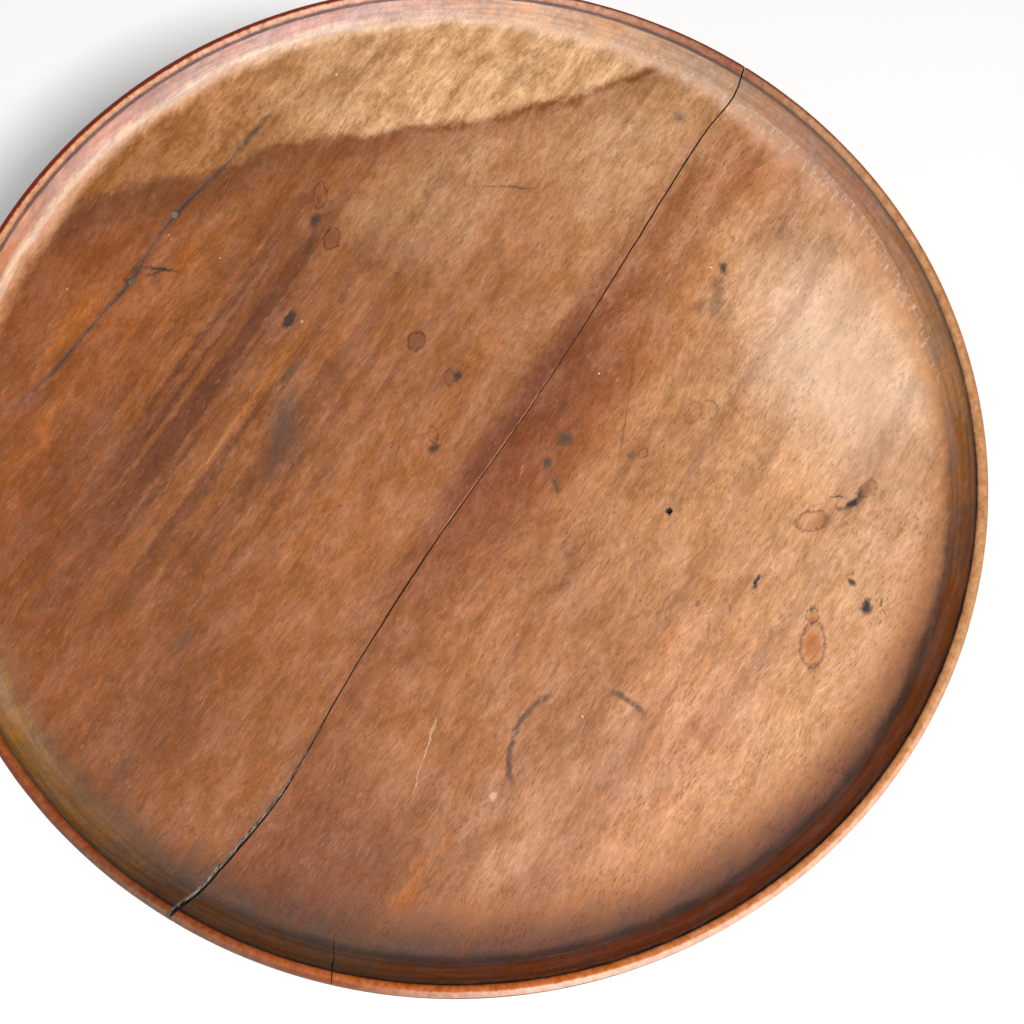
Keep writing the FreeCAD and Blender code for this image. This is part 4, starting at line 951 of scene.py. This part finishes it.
def rim_material():
    """Rim of the top: mottled cove, thin dark quirk, worn lip and red-brown outer side, with painted light and shade
    that change round the rim.
    """
    made, sheet, shader, place = new_material("old_mahogany_rim")
    grain = grain_of(sheet, place, 14.0, 16.0)
    z = sheet.add("SeparateXYZ", {0: place}, 2)
    radius = sheet.radius(place)
    ragged = sheet.math("MULTIPLY_ADD", sheet.noise(place, 0.25, 4.0, 0.7), 1.6, sheet.minus(radius, 0.8))
    blotch = sheet.noise(place, 0.09, 7.0, 0.7, 0.4)
    fine = grain["Mottle"]
    turn = sheet.group(shared("Round the rim", turn_group), {"Vector": place})
    tone = sheet.group(shared("Cove tone", cove_group), {"Vector": place, "Share": turn, "Mottle": fine})
    arris = sheet.times(near(sheet, radius, TOP_RADIUS - 15.2, 0.9), near(sheet, turn, 0.1, 0.08))
    tone = sheet.tint(tone, "7A5044", arris, sheet.span(fine, 0.3, 0.55), 0.7)
    lip = toned(sheet, turn, LIP_TONES)
    grit = sheet.noise(place, 0.22, 7.0, 0.72)
    lip = mottled(sheet, lip, grit, 0.34, 0.66, 1.18, 0.78, 0.94, 1.06)
    lip = sheet.tint(lip, "7A4226", sheet.span(blotch, 0.55, 0.66, 0.0, 0.5))
    tone = sheet.mix(sheet.span(radius, TOP_RADIUS - 6.2, TOP_RADIUS - 5.2), tone, lip)
    # The outer side carries a painted highlight near 0.1 to 0.2 of a turn, facing the key light, and painted shade over
    # its dark red polish round 0.6 to 0.8; its band is drawn wider round 0.7 of a turn.
    reach = sheet.math("MULTIPLY_ADD", near(sheet, turn, 0.7, 0.22), 1.3, ragged)
    outer = sheet.span(reach, TOP_RADIUS - 2.9, TOP_RADIUS - 1.9)
    outer = sheet.math("MAXIMUM", outer, sheet.span(z, CROWN - 1.6, CROWN - 3.0))
    side = sheet.shaded(toned(sheet, turn, SIDE_TONES), sheet.span(grit, 0.36, 0.64, 1.15, 0.8))
    brown = sheet.mix(sheet.span(fine, 0.35, 0.65), code("653619"), code("472110"))
    brown = mottled(sheet, brown, blotch, 0.3, 0.7, 1.2, 0.8)
    side = sheet.mix(sheet.span(z, CROWN - 3.0, CROWN - 6.0), side, brown)
    tone = sheet.mix(sheet.times(outer, sheet.span(radius, TOP_RADIUS - 7.0, TOP_RADIUS - 4.0)), tone, side)
    # The quirk is darkest near 0.12 to 0.29 of a turn: painted shade in the groove on the key light's side, over grime.
    quirk = sheet.times(near(sheet, ragged, TOP_RADIUS - 6.35, 1.15, 0.7), sheet.span(blotch, 0.3, 0.6, 0.65, 1.0))
    tone = sheet.mix(quirk, tone, toned(sheet, turn, QUIRK_TONES))

    sheet.link(sheet.shaded(tone, 0.98, 1.05), shader.inputs["Base Color"])
    rough = sheet.blend(quirk, sheet.span(blotch, 0.3, 0.7, 0.45, 0.65), 1.0)
    sheet.link(rough, shader.inputs["Roughness"])
    height = sheet.math("MULTIPLY_ADD", grain["Fibre"], 0.4, sheet.times(fine, 0.7))
    bumped(sheet, shader, height, 0.22, 0.7)
    shader.inputs["Specular IOR Level"].default_value = 0.22
    return made


def underside_material(finish):
    """Raw, dry and dirty wood under the top, with the marks of the plane."""
    made, sheet, shader, place = new_material("raw_underside")
    grain = grain_of(sheet, place, 14.0, 22.0)
    blotch = sheet.noise(sheet.stretched(place, (0.6, 1.0, 1.0)), 0.03, 6.0, 0.7, 0.4)
    y = sheet.add("SeparateXYZ", {0: place}, 1)
    tone = sheet.mix(sheet.span(grain["Figure"], 0.35, 0.65), colour(finish.raw), code("5A3A26"))
    tone = sheet.tint(tone, "44291A", sheet.span(grain["Fibre"], 0.4, 0.7), 0.6)
    tone = sheet.tint(tone, "8C6E50", sheet.span(blotch, 0.5, 0.72, 0.0, 0.55))
    tone = sheet.tint(tone, "38241A", sheet.span(blotch, 0.48, 0.3, 0.0, 0.6))
    tone = sheet.tint(tone, "20120B", grain["Pore"], 0.6)
    tone = mottled(sheet, tone, grain["Mottle"], 0.25, 0.75, 1.2, 0.78)
    sheet.link(tone, shader.inputs["Base Color"])
    shader.inputs["Roughness"].default_value = 0.82
    plane = sheet.math("ABSOLUTE", sheet.math("SINE", sheet.times(y, math.pi / 44.0)))
    height = sheet.math("MULTIPLY_ADD", plane, 1.2, sheet.times(grain["Fibre"], 0.7))
    bumped(sheet, shader, height, 0.35, 0.8)
    return made


def torn_material():
    """Dark broken wood inside the split and the cracks."""
    made, sheet, shader, place = new_material("torn_wood")
    grain = grain_of(sheet, place, 2.5, 4.0)
    tone = sheet.mix(sheet.span(grain["Fibre"], 0.35, 0.65), code("5A4034"), code("2B1A14"))
    x, _, z = sheet.parts(place)
    ledge = sheet.times(sheet.span(x, -125.0, -165.0), sheet.span(z, CROWN - 12.0, CROWN - 10.2))
    strand = sheet.noise(sheet.stretched(place, (0.10, 1.0, 1.0)), 2.4, 3.0, 0.7)
    dry = sheet.mix(sheet.span(strand, 0.42, 0.62), code("2E241F"), code("9A8C82"))
    tone = sheet.mix(sheet.times(ledge, 0.8), tone, dry)
    sheet.link(tone, shader.inputs["Base Color"])
    shader.inputs["Roughness"].default_value = 0.85
    bumped(sheet, shader, grain["Fibre"], 0.5)
    return made


def wood_material(name, main, dark, turn, band, roughness, dust, coat):
    """Joiner's wood with its grain turned to follow a piece."""
    made, sheet, shader, place = new_material(name)
    values = {"Vector": place, "Rotation": tuple(math.radians(a) for a in turn)}
    along = sheet.add("Mapping", values, vector_type="POINT")
    grain = grain_of(sheet, along, band, 12.0)
    blotch = sheet.noise(place, 0.05, 5.0, 0.65)
    tone = sheet.mix(sheet.span(grain["Figure"], 0.38, 0.68), main, dark)
    tone = sheet.mix(sheet.times(sheet.span(grain["Fibre"], 0.35, 0.7), 0.45), tone, dark)
    tone = sheet.tint(tone, "1E0F08", grain["Pore"], 0.6)
    tone = sheet.tint(tone, "3A1D10", sheet.span(blotch, 0.45, 0.75, 0.0, 0.45))
    settled_dust = sheet.group(shared("Settled dust", dust_group), {"Vector": place, "Amount": dust})
    tone = sheet.tint(tone, "9C8470", settled_dust)
    sheet.link(tone, shader.inputs["Base Color"])
    rough = sheet.span(blotch, 0.3, 0.7, roughness - 0.08, roughness + 0.12)
    rough = sheet.blend(settled_dust, rough, 0.9)
    sheet.link(rough, shader.inputs["Roughness"])
    height = sheet.minus(sheet.times(grain["Fibre"], 0.4), grain["Pore"])
    bumped(sheet, shader, height, 0.15, 0.7)
    shader.inputs["Coat Weight"].default_value = coat
    shader.inputs["Coat Roughness"].default_value = 0.22
    return made


def polished_wood(context, name, turn, band, dust):
    """The polished wood of the column and the legs."""
    main = colour(context.scene.winetable_finish.polish)
    return wood_material(name, main, code("4A2210"), turn, band, 0.3, dust, 0.35)


def metal_material(name, clean, tarnish, rust, roughness, metallic):
    """Old metal: clean where it is rubbed, dull or rusty elsewhere."""
    made, sheet, shader, place = new_material(name)
    cloud = sheet.noise(place, 0.16, 6.0, 0.7)
    speck = sheet.noise(place, 0.9, 4.0, 0.7)
    dull = sheet.span(cloud, 0.38, 0.62)
    tone = sheet.mix(dull, clean, tarnish)
    pits = sheet.span(speck, 0.56, 0.72)
    tone = sheet.mix(pits, tone, rust)
    sheet.link(tone, shader.inputs["Base Color"])
    sheet.link(sheet.span(cloud, 0.3, 0.7, roughness, roughness + 0.25), shader.inputs["Roughness"])
    sheet.link(sheet.blend(pits, metallic, 0.2), shader.inputs["Metallic"])
    bumped(sheet, shader, speck, 0.12)
    return made


# Top

def rim_outline(sizes):
    """Half section of the top from the middle of the dish, round the rim, to the middle of the underside."""
    lip = sizes.lip_width / MM
    quirk = sizes.quirk_width / MM
    cove = sizes.cove_width / MM
    blend = sizes.blend_width / MM
    floor = CROWN - sizes.dish_depth / MM
    cove_head = TOP_RADIUS - lip - quirk
    arris = cove_head - cove
    shape = Outline(0.0, floor)
    for ring in range(1, DISH_RINGS + 1):
        shape.to((arris - blend) * ring / DISH_RINGS)
    shape.to(arris, 0.9, 0.05, 6)
    shape.to(cove_head - 0.2, CROWN - 2.4 - floor - 0.9, 0.085, 16)
    shape.to(cove_head, 0.2)
    shape.to(cove_head + 0.35, -0.35)
    shape.to(cove_head + 0.5, -0.6)
    shape.to(cove_head + quirk - 0.3, -0.05, 0.1, 4)
    shape.to(TOP_RADIUS - lip, 0.25)
    rise = CROWN - lip / 2 - shape.points[-1][1]
    shape.to(TOP_RADIUS - lip, rise)
    shape.to(TOP_RADIUS, 0.0, -0.5, 24)
    foot = TOP_RADIUS - UNDERCUT
    shape.to(TOP_RADIUS, UNDERSIDE + EDGE_HEIGHT - shape.points[-1][1])
    shape.to(foot, -EDGE_HEIGHT, -0.207, 12)
    for ring in range(UNDERSIDE_RINGS - 1, -1, -1):
        shape.to(foot * ring / UNDERSIDE_RINGS)
    return shape.points


def old_surface(bm, sizes):
    """Lets the turned surface dip a little below true, as an old hand-worked one does."""
    depth = sizes.unevenness
    for vert in bm.verts:
        x, y, z = vert.co / MM
        if z < UNDERSIDE + EDGE_HEIGHT - 1.0:
            continue
        dip = 0.5 + 0.5 * wander((x, y, z), 55.0) + 0.35 * wander((x, y, z), 16.0, 7.0)
        vert.co.z -= depth * min(max(dip, 0.0), 1.0)
        reach = math.hypot(x, y)
        if reach > TOP_RADIUS - 16:
            shrink = 1 - 0.18 * MM * (0.5 + 0.5 * wander((x, y, z), 22.0, 3.0)) / (reach * MM)
            vert.co.x *= shrink
            vert.co.y *= shrink


def split_line(at):
    """Place of the split's middle and its half opening share at a share of its length."""
    along, across, opened = through(SPLIT_ROWS, at)
    x = TOP_RADIUS * along
    y = TOP_RADIUS * across + 0.35 * wander((x, 0, 0), 11.0, 2.0) + 0.16 * wander((x, 0, 0), 3.0, 5.0)
    return x, y, min(max(opened, 0.0), 1.0)


def split_cutter(sizes, side, name):
    """Everything beyond one wall of the leaning split, as a block with a torn face."""
    lean = sizes.split_lean / (CROWN - UNDERSIDE) / MM
    floor = CROWN - sizes.dish_depth / MM
    levels = [UNDERSIDE + rise for rise in (-6.0, 2.0, 4.0, 6.0)]
    levels += [floor + rise for rise in (-3.4, -1.7, -1.2, -0.4, 0.12, 4.5)] + [CROWN + 6.0]
    columns = 260
    bm = bmesh.new()
    bmesh.ops.create_grid(bm, x_segments=columns, y_segments=len(levels) - 1, size=0.5)
    for vert in bm.verts:
        column = round((vert.co.x + 0.5) * columns)
        row = round((vert.co.y + 0.5) * (len(levels) - 1))
        x, y, opened = split_line(column / columns)
        z = levels[row]
        half = (sizes.split_width + (sizes.split_end_width - sizes.split_width) * opened) / MM / 2
        ease = 0.08 if row > 7 else 0.0
        rough = 0.22 * wander((x, 0, z), 2.6, 9.0 + side) if 0 < row < 7 else 0.0
        torn = 0.3 * wander((x, 3, 0), 4.0)
        on_ledge = side > 0 and x < LEDGE_END and 0 < row < 6
        ledge = (1.25 + torn) * half * (1 - row / 12) if on_ledge else 0.0
        y += side * (half + ease + rough - ledge) + lean * (z - floor)
        vert.co = Vector((x, y, z)) * MM
    made = bmesh.ops.extrude_face_region(bm, geom=list(bm.faces))
    far = -side * (TOP_RADIUS + 12.0) * MM
    for item in made["geom"]:
        if isinstance(item, bmesh.types.BMVert):
            item.co.y = far
    bmesh.ops.recalc_face_normals(bm, faces=bm.faces)
    return object_from(bm, name)


def crack_cutter(sizes, name, rows, columns):
    """Thin wedge for a crack, closing to nothing at its ends and its foot."""
    floor = CROWN - sizes.dish_depth / MM
    section = ((-1, 1.6), (0, -1.0), (1, 1.6), (-1, 1.6))
    bm = bmesh.new()
    bmesh.ops.create_grid(bm, x_segments=columns, y_segments=3, size=0.5)
    for vert in bm.verts:
        side, rise = section[round((vert.co.y + 0.5) * 3)]
        along, across, opened, height = through(rows, (vert.co.x + 0.5))
        x = TOP_RADIUS * along
        y = TOP_RADIUS * across + 0.3 * wander((x, 1, 0), 7.0) + 0.12 * wander((x, 1, 0), 2.2)
        half = sizes.crack_width / MM / 2 * max(opened, 0.04)
        deep = rise if rise > 0 else rise * sizes.crack_depth / MM * min(max(opened, 0.1), 1.0)
        vert.co = Vector((x, y + half * side, floor + height * sizes.dish_depth / MM + deep)) * MM
    close_skin(bm, fill=True)
    return object_from(bm, name)


def cone_cutter(name, x, y, z, radius, depth, segments=14):
    """Small tapering hole sunk from a height."""
    bm = bmesh.new()
    place = Matrix.Translation(Vector((x, y, z)) * MM)
    bmesh.ops.create_cone(
        bm, cap_ends=True, segments=segments, radius1=radius * 0.55 * MM, radius2=radius * 1.25 * MM,
        depth=depth * 2 * MM, matrix=place
    )
    for vert in bm.verts:
        vert.co.x += 0.18 * MM * wander(vert.co / MM, 1.1)
        vert.co.y += 0.18 * MM * wander(vert.co / MM, 1.1, 4.0)
    return object_from(bm, name)


def top_zone(face, sizes):
    """Which material a face of the top takes: dish, rim, underside or torn wood."""
    floor = CROWN - sizes.dish_depth / MM
    x, y, z = face.center / MM
    radius = math.hypot(x, y)
    by_split = abs(y - split_height(x)) < SPLIT_REACH
    near_split = abs(face.normal.y) > 0.6 and by_split
    sunk = UNDERSIDE + 0.5 < z < floor - 0.75 and radius < TOP_RADIUS - 25
    ledge = UNDERSIDE + 0.5 < z < floor - 0.7 and by_split and radius < TOP_RADIUS - 2
    if near_split or sunk or ledge:
        return 3
    rim = (sizes.lip_width + sizes.quirk_width + sizes.cove_width) / MM
    if radius > TOP_RADIUS - rim - 0.1 and z > floor + 0.85:
        return 1
    if face.normal.z < -0.9 and z < UNDERSIDE + 0.4:
        return 2
    return 0 if z > floor - 1.5 and face.normal.z > 0 else 1


SPLIT_SAMPLES = [split_line(step / SPLIT_STEPS)[:2] for step in range(SPLIT_STEPS + 1)]


def split_height(x):
    """The split's Y at an X."""
    return min(SPLIT_SAMPLES, key=lambda row: abs(row[0] - x))[1]


class WINETABLE_OT_top(bpy.types.Operator):
    """Turn the dished top and part it along the split"""

    bl_idname = "winetable.top"
    bl_label = "Top boards"

    def execute(self, context):
        sizes = context.scene.winetable_top
        finish = context.scene.winetable_finish
        materials = [floor_material(finish), rim_material(), underside_material(finish), torn_material()]
        bm = bmesh.new()
        turn_outline(bm, rim_outline(sizes), 360)
        old_surface(bm, sizes)
        front = object_from(bm, "front_disc")
        back = twin(front)
        floor = CROWN - sizes.dish_depth / MM
        hole = cone_cutter("pin_hole", *PIN_HOLE, floor, 1.5, 4.0)
        cut(front, [split_cutter(sizes, -1, "back_space"), hole, crack_cutter(sizes, "rim_crack", RIM_CRACK_ROWS, 24)])
        cut(back, [split_cutter(sizes, 1, "front_space"), crack_cutter(sizes, "long_crack", CRACK_ROWS, 120)])
        rows = (("front_board", front, "top_front_board"), ("back_board", back, "top_back_board"))
        for name, board, node in rows:
            finish_piece(board, name, "top", materials, [node])
            for face in board.data.polygons:
                face.material_index = top_zone(face, sizes)
        return {"FINISHED"}


# Base

def column_outline(sizes):
    """Half section of the column from the middle of its foot up to the head of its tenon."""
    drum = sizes.drum_radius / MM
    shape = Outline(0.0, COLUMN_FOOT)
    shape.to(drum - 1.0)
    shape.to(drum, 1.0, 0.207, 4)
    shape.to(drum, sizes.drum_height / MM - 1.6)
    shape.to(drum - 0.6, 0.6, 0.207, 3)
    for member in COLUMN_FOOT_MEMBERS:
        shape.to(*member)
    shaft = BLOCK_BOTTOM - COLUMN_HEAD_HEIGHT - shape.points[-1][1]
    shape.to(18.2, shaft * 0.36, 0.004, 6)
    shape.to(15.0, shaft * 0.64, 0.006, 10)
    for member in COLUMN_HEAD_MEMBERS:
        shape.to(*member)
    shape.to(COLLAR_RADIUS, BLOCK_BOTTOM - shape.points[-1][1])
    shape.to(sizes.tenon_radius / MM)
    shape.to(sizes.tenon_radius / MM, BLOCK_TOP - BLOCK_BOTTOM)
    shape.to(0.0)
    return shape.points


class WINETABLE_OT_column(bpy.types.Operator):
    """Turn the column"""

    bl_idname = "winetable.column"
    bl_label = "Column"

    def execute(self, context):
        wood = polished_wood(context, "polished_column", (0, 90, 0), 9.0, 0.06)
        bm = bmesh.new()
        turn_outline(bm, column_outline(context.scene.winetable_base), 128)
        column = object_from(bm, "column_skin")
        finish_piece(column, "turned_column", "base", [wood], ["column"], 28)
        return {"FINISHED"}


def leg_skin():
    """Closed skin of one cabriole leg along +X, without its foot."""
    sides, stations = 48, 64
    bm = bmesh.new()
    bmesh.ops.create_grid(bm, x_segments=sides, y_segments=stations, size=0.5)
    for vert in bm.verts:
        angle = math.tau * round((vert.co.x + 0.5) * sides) / sides
        ux, uz, lx, lz, width, square = through(LEG_ROWS, round((vert.co.y + 0.5) * stations) / stations)
        up = math.copysign(abs(math.cos(angle)) ** (2 / square), math.cos(angle))
        out = math.copysign(abs(math.sin(angle)) ** (2 / square), math.sin(angle))
        x = (ux + lx) / 2 + (ux - lx) / 2 * up
        z = (uz + lz) / 2 + (uz - lz) / 2 * up
        vert.co = Vector((x, width / 2 * out, z)) * MM
    close_skin(bm, fill=True)
    return bm


def pad_outline(sizes):
    """Half section of a pad foot on its thin disc."""
    radius = sizes.pad_radius / MM
    height = sizes.pad_height / MM
    shape = Outline(0.0, 0.0)
    shape.to(radius * 0.755).to(radius * 0.773, 0.4).to(radius * 0.773, 2.2)
    shape.to(radius, height * 0.5 - 2.6, 0.10, 8)
    shape.to(radius * 0.41, height * 0.5, 0.207, 12)
    shape.to(0.0)
    return shape.points


def carved_leg(sizes):
    """One leg and its pad carved as one, coped to the drum and flat below where the bracket lies."""
    leg = object_from(leg_skin(), "leg_skin")
    bm = bmesh.new()
    turn_outline(bm, pad_outline(sizes), 64, FOOT_REACH - sizes.pad_radius / MM)
    pad = object_from(bm, "pad_skin")
    cut(leg, [pad], "UNION")
    step = leg.modifiers.new("grid", "REMESH")
    step.mode = "VOXEL"
    step.voxel_size = sizes.leg_grid
    ease = leg.modifiers.new("ease", "SMOOTH")
    ease.factor = 0.5
    ease.iterations = 4
    settled(leg)
    for vert in leg.data.vertices:
        vert.co.z = max(vert.co.z, 0.0)
    drum = bmesh.new()
    outline = Outline(0.0, -5.0).to(sizes.drum_radius / MM - 0.25).to(sizes.drum_radius / MM - 0.25, 300.0).to(0.0)
    turn_outline(drum, outline.points, 128)
    under = bmesh.new()
    place = Matrix.Translation(Vector((28.0, 0.0, COLUMN_FOOT - 20.0)) * MM)
    bmesh.ops.create_cube(under, size=1.0, matrix=place @ Matrix.Diagonal((0.060, 0.080, 0.040, 1.0)))
    return cut(leg, [object_from(drum, "drum_space"), object_from(under, "bracket_space")])


class WINETABLE_OT_legs(bpy.types.Operator):
    """Carve the three legs"""

    bl_idname = "winetable.legs"
    bl_label = "Legs"

    def execute(self, context):
        pattern = carved_leg(context.scene.winetable_base)
        for node, turn in LEG_TURNS:
            wood = polished_wood(context, "polished_" + node, (0, 40, -turn), 8.0, 0.08)
            leg = twin(pattern)
            leg.data.transform(Matrix.Rotation(math.radians(turn), 4, "Z"))
            finish_piece(leg, "carved_" + node, "base", [wood], [node], 40)
        discard(pattern)
        return {"FINISHED"}


class WINETABLE_OT_spring(bpy.types.Operator):
    """Draw the wire of the catch spring on its own mesh"""

    bl_idname = "winetable.spring"
    bl_label = "Catch spring"

    def execute(self, context):
        wire = metal_material("spring_steel", code("6A6460"), code("3A3431"), code("4A2A18"), 0.35, 1.0)
        bm = bmesh.new()
        bm.from_mesh(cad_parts["catch_spring"].data)
        close_skin(bm)
        spring = object_from(bm, "spring_wire")
        finish_piece(spring, "coiled_spring", "top", [wire], ["catch_spring"])
        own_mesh(spring)
        return {"FINISHED"}


class WINETABLE_OT_fittings(bpy.types.Operator):
    """Finish the bearers, the block and the metalwork of the frame"""

    bl_idname = "winetable.fittings"
    bl_label = "Fittings"

    def execute(self, context):
        finish = context.scene.winetable_finish
        raw = colour(finish.raw)
        brown = code("3E2717")
        woods = (
            ("bearer_wood", raw, (0, 0, 90), 7.0, 0.6, 0.2, ["left_bearer", "right_bearer"]),
            ("block_wood", code("5E3B22"), (0, 0, 0), 8.0, 0.55, 0.3, ["pivot_block"]),
            ("wedge_wood", raw, (0, 0, 90), 4.0, 0.6, 0.2, ["column_wedge"]),
        )
        metals = (
            ("old_brass", colour(finish.brass), "5E4A26", "2E2415", 0.3, 1.0,
             ["catch_plate", "catch_case", "catch_bolt", "catch_knob", "keeper_plate"]),
            ("old_iron", colour(finish.iron), "3B2A20", "5A3018", 0.5, 0.8,
             ["leg_bracket", "bracket_nails", "bearer_screws", "catch_screws", "keeper_screws"]),
            ("nail_metal", code("A8A58C"), "6A6A58", "2A2019", 0.4, 0.9, ["repair_nails"]),
        )
        finishes = {}
        for name, main, turn, band, roughness, dust, nodes in woods:
            finishes[wood_material(name, main, brown, turn, band, roughness, dust, 0.0)] = nodes
        for name, clean, tarnish, rust, roughness, metallic, nodes in metals:
            finishes[metal_material(name, clean, code(tarnish), code(rust), roughness, metallic)] = nodes
        for material, nodes in finishes.items():
            for name in nodes:
                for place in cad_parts[name].material_slots:
                    place.link = "OBJECT"
                    place.material = material
        return {"FINISHED"}


# Stage

def soft_light(name, place, height, size, power, shade=(1.0, 1.0, 1.0)):
    """A square soft light that faces the table's axis at a height."""
    lamp = bpy.data.lights.new(name, "AREA")
    lamp.shape = "RECTANGLE"
    lamp.size = size
    lamp.size_y = size
    lamp.energy = power
    lamp.color = shade
    made = bpy.data.objects.new(name, lamp)
    made.location = place
    made.rotation_euler = (Vector((0.0, 0.0, height)) - Vector(place)).to_track_quat("-Z", "Y").to_euler()
    bpy.context.scene.collection.objects.link(made)


class WINETABLE_OT_stage(bpy.types.Operator):
    """Lay the pale floor and set the soft lights and the camera"""

    bl_idname = "winetable.stage"
    bl_label = "Stage"

    def execute(self, context):
        sizes = context.scene.winetable_stage
        made, sheet, shader, place = new_material("pale_floor")
        cloud = sheet.noise(place, 0.002, 3.0, 0.5)
        tone = sheet.mix(cloud, (0.93, 0.93, 0.93, 1.0), (0.96, 0.96, 0.955, 1.0))
        sheet.link(tone, shader.inputs["Base Color"])
        shader.inputs["Roughness"].default_value = 0.9
        bm = bmesh.new()
        bmesh.ops.create_circle(bm, cap_ends=True, segments=96, radius=sizes.floor_radius)
        bmesh.ops.translate(bm, verts=bm.verts, vec=(0, 0, -0.0002))
        floor = object_from(bm, "studio_floor")
        floor.data.materials.append(made)

        soft_light("key_light", (-0.82, -1.22, 3.43), 0.66, 0.24, sizes.key_power, (1.0, 0.985, 0.965))
        soft_light("back_fill", (1.2, 2.2, 1.6), 0.4, 1.6, sizes.fill_power)
        soft_light("left_fill", (-2.4, 0.6, 1.2), 0.4, 1.6, sizes.fill_power)

        world = bpy.data.worlds.new("studio")
        world.use_nodes = True
        sky = world.node_tree.nodes.get("Background") or world.node_tree.nodes.new("ShaderNodeBackground")
        sky.inputs[0].default_value = (1.0, 1.0, 1.0, 1.0)
        sky.inputs[1].default_value = sizes.sky
        context.scene.world = world
        context.scene.view_settings.view_transform = "Standard"
        context.scene.view_settings.look = "None"

        lens = bpy.data.cameras.new("camera")
        lens.lens = sizes.lens
        lens.sensor_width = 36.0
        camera = bpy.data.objects.new("camera", lens)
        camera.matrix_world = Matrix.Translation(CAMERA_PLACE) @ Matrix(CAMERA_SIDES).transposed().to_4x4()
        context.scene.collection.objects.link(camera)
        context.scene.camera = camera
        return {"FINISHED"}


class WINETABLE_PT_panel(bpy.types.Panel):
    """Makes each group of pieces of the wine table."""

    bl_idname = "WINETABLE_PT_panel"
    bl_label = "Wine table"
    bl_space_type = "VIEW_3D"
    bl_region_type = "UI"
    bl_category = "Wine table"

    def draw(self, context):
        for name, kind in GROUPS.items():
            box = self.layout.box()
            for size in kind.__annotations__:
                box.prop(getattr(context.scene, name), size)
        for step in STEPS:
            self.layout.operator(step.bl_idname)


GROUPS = {
    "winetable_top": TopSizes,
    "winetable_base": BaseSizes,
    "winetable_catch": CatchSizes,
    "winetable_finish": Finishes,
    "winetable_stage": StageSizes,
}
STEPS = (
    WINETABLE_OT_stage, WINETABLE_OT_top, WINETABLE_OT_column, WINETABLE_OT_legs, WINETABLE_OT_spring,
    WINETABLE_OT_fittings,
)


def register():
    for name, group in GROUPS.items():
        bpy.utils.register_class(group)
        setattr(bpy.types.Scene, name, bpy.props.PointerProperty(type=group))
    for step in STEPS:
        bpy.utils.register_class(step)
    bpy.utils.register_class(WINETABLE_PT_panel)


def unregister():
    bpy.utils.unregister_class(WINETABLE_PT_panel)
    for step in reversed(STEPS):
        bpy.utils.unregister_class(step)
    for name, group in GROUPS.items():
        delattr(bpy.types.Scene, name)
        bpy.utils.unregister_class(group)


def main():
    register()
    bpy.ops.winetable.stage()
    bpy.ops.winetable.top()
    bpy.ops.winetable.column()
    bpy.ops.winetable.legs()
    bpy.ops.winetable.spring()
    bpy.ops.winetable.fittings()
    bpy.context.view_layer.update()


if __name__ == "__main__":
    main()
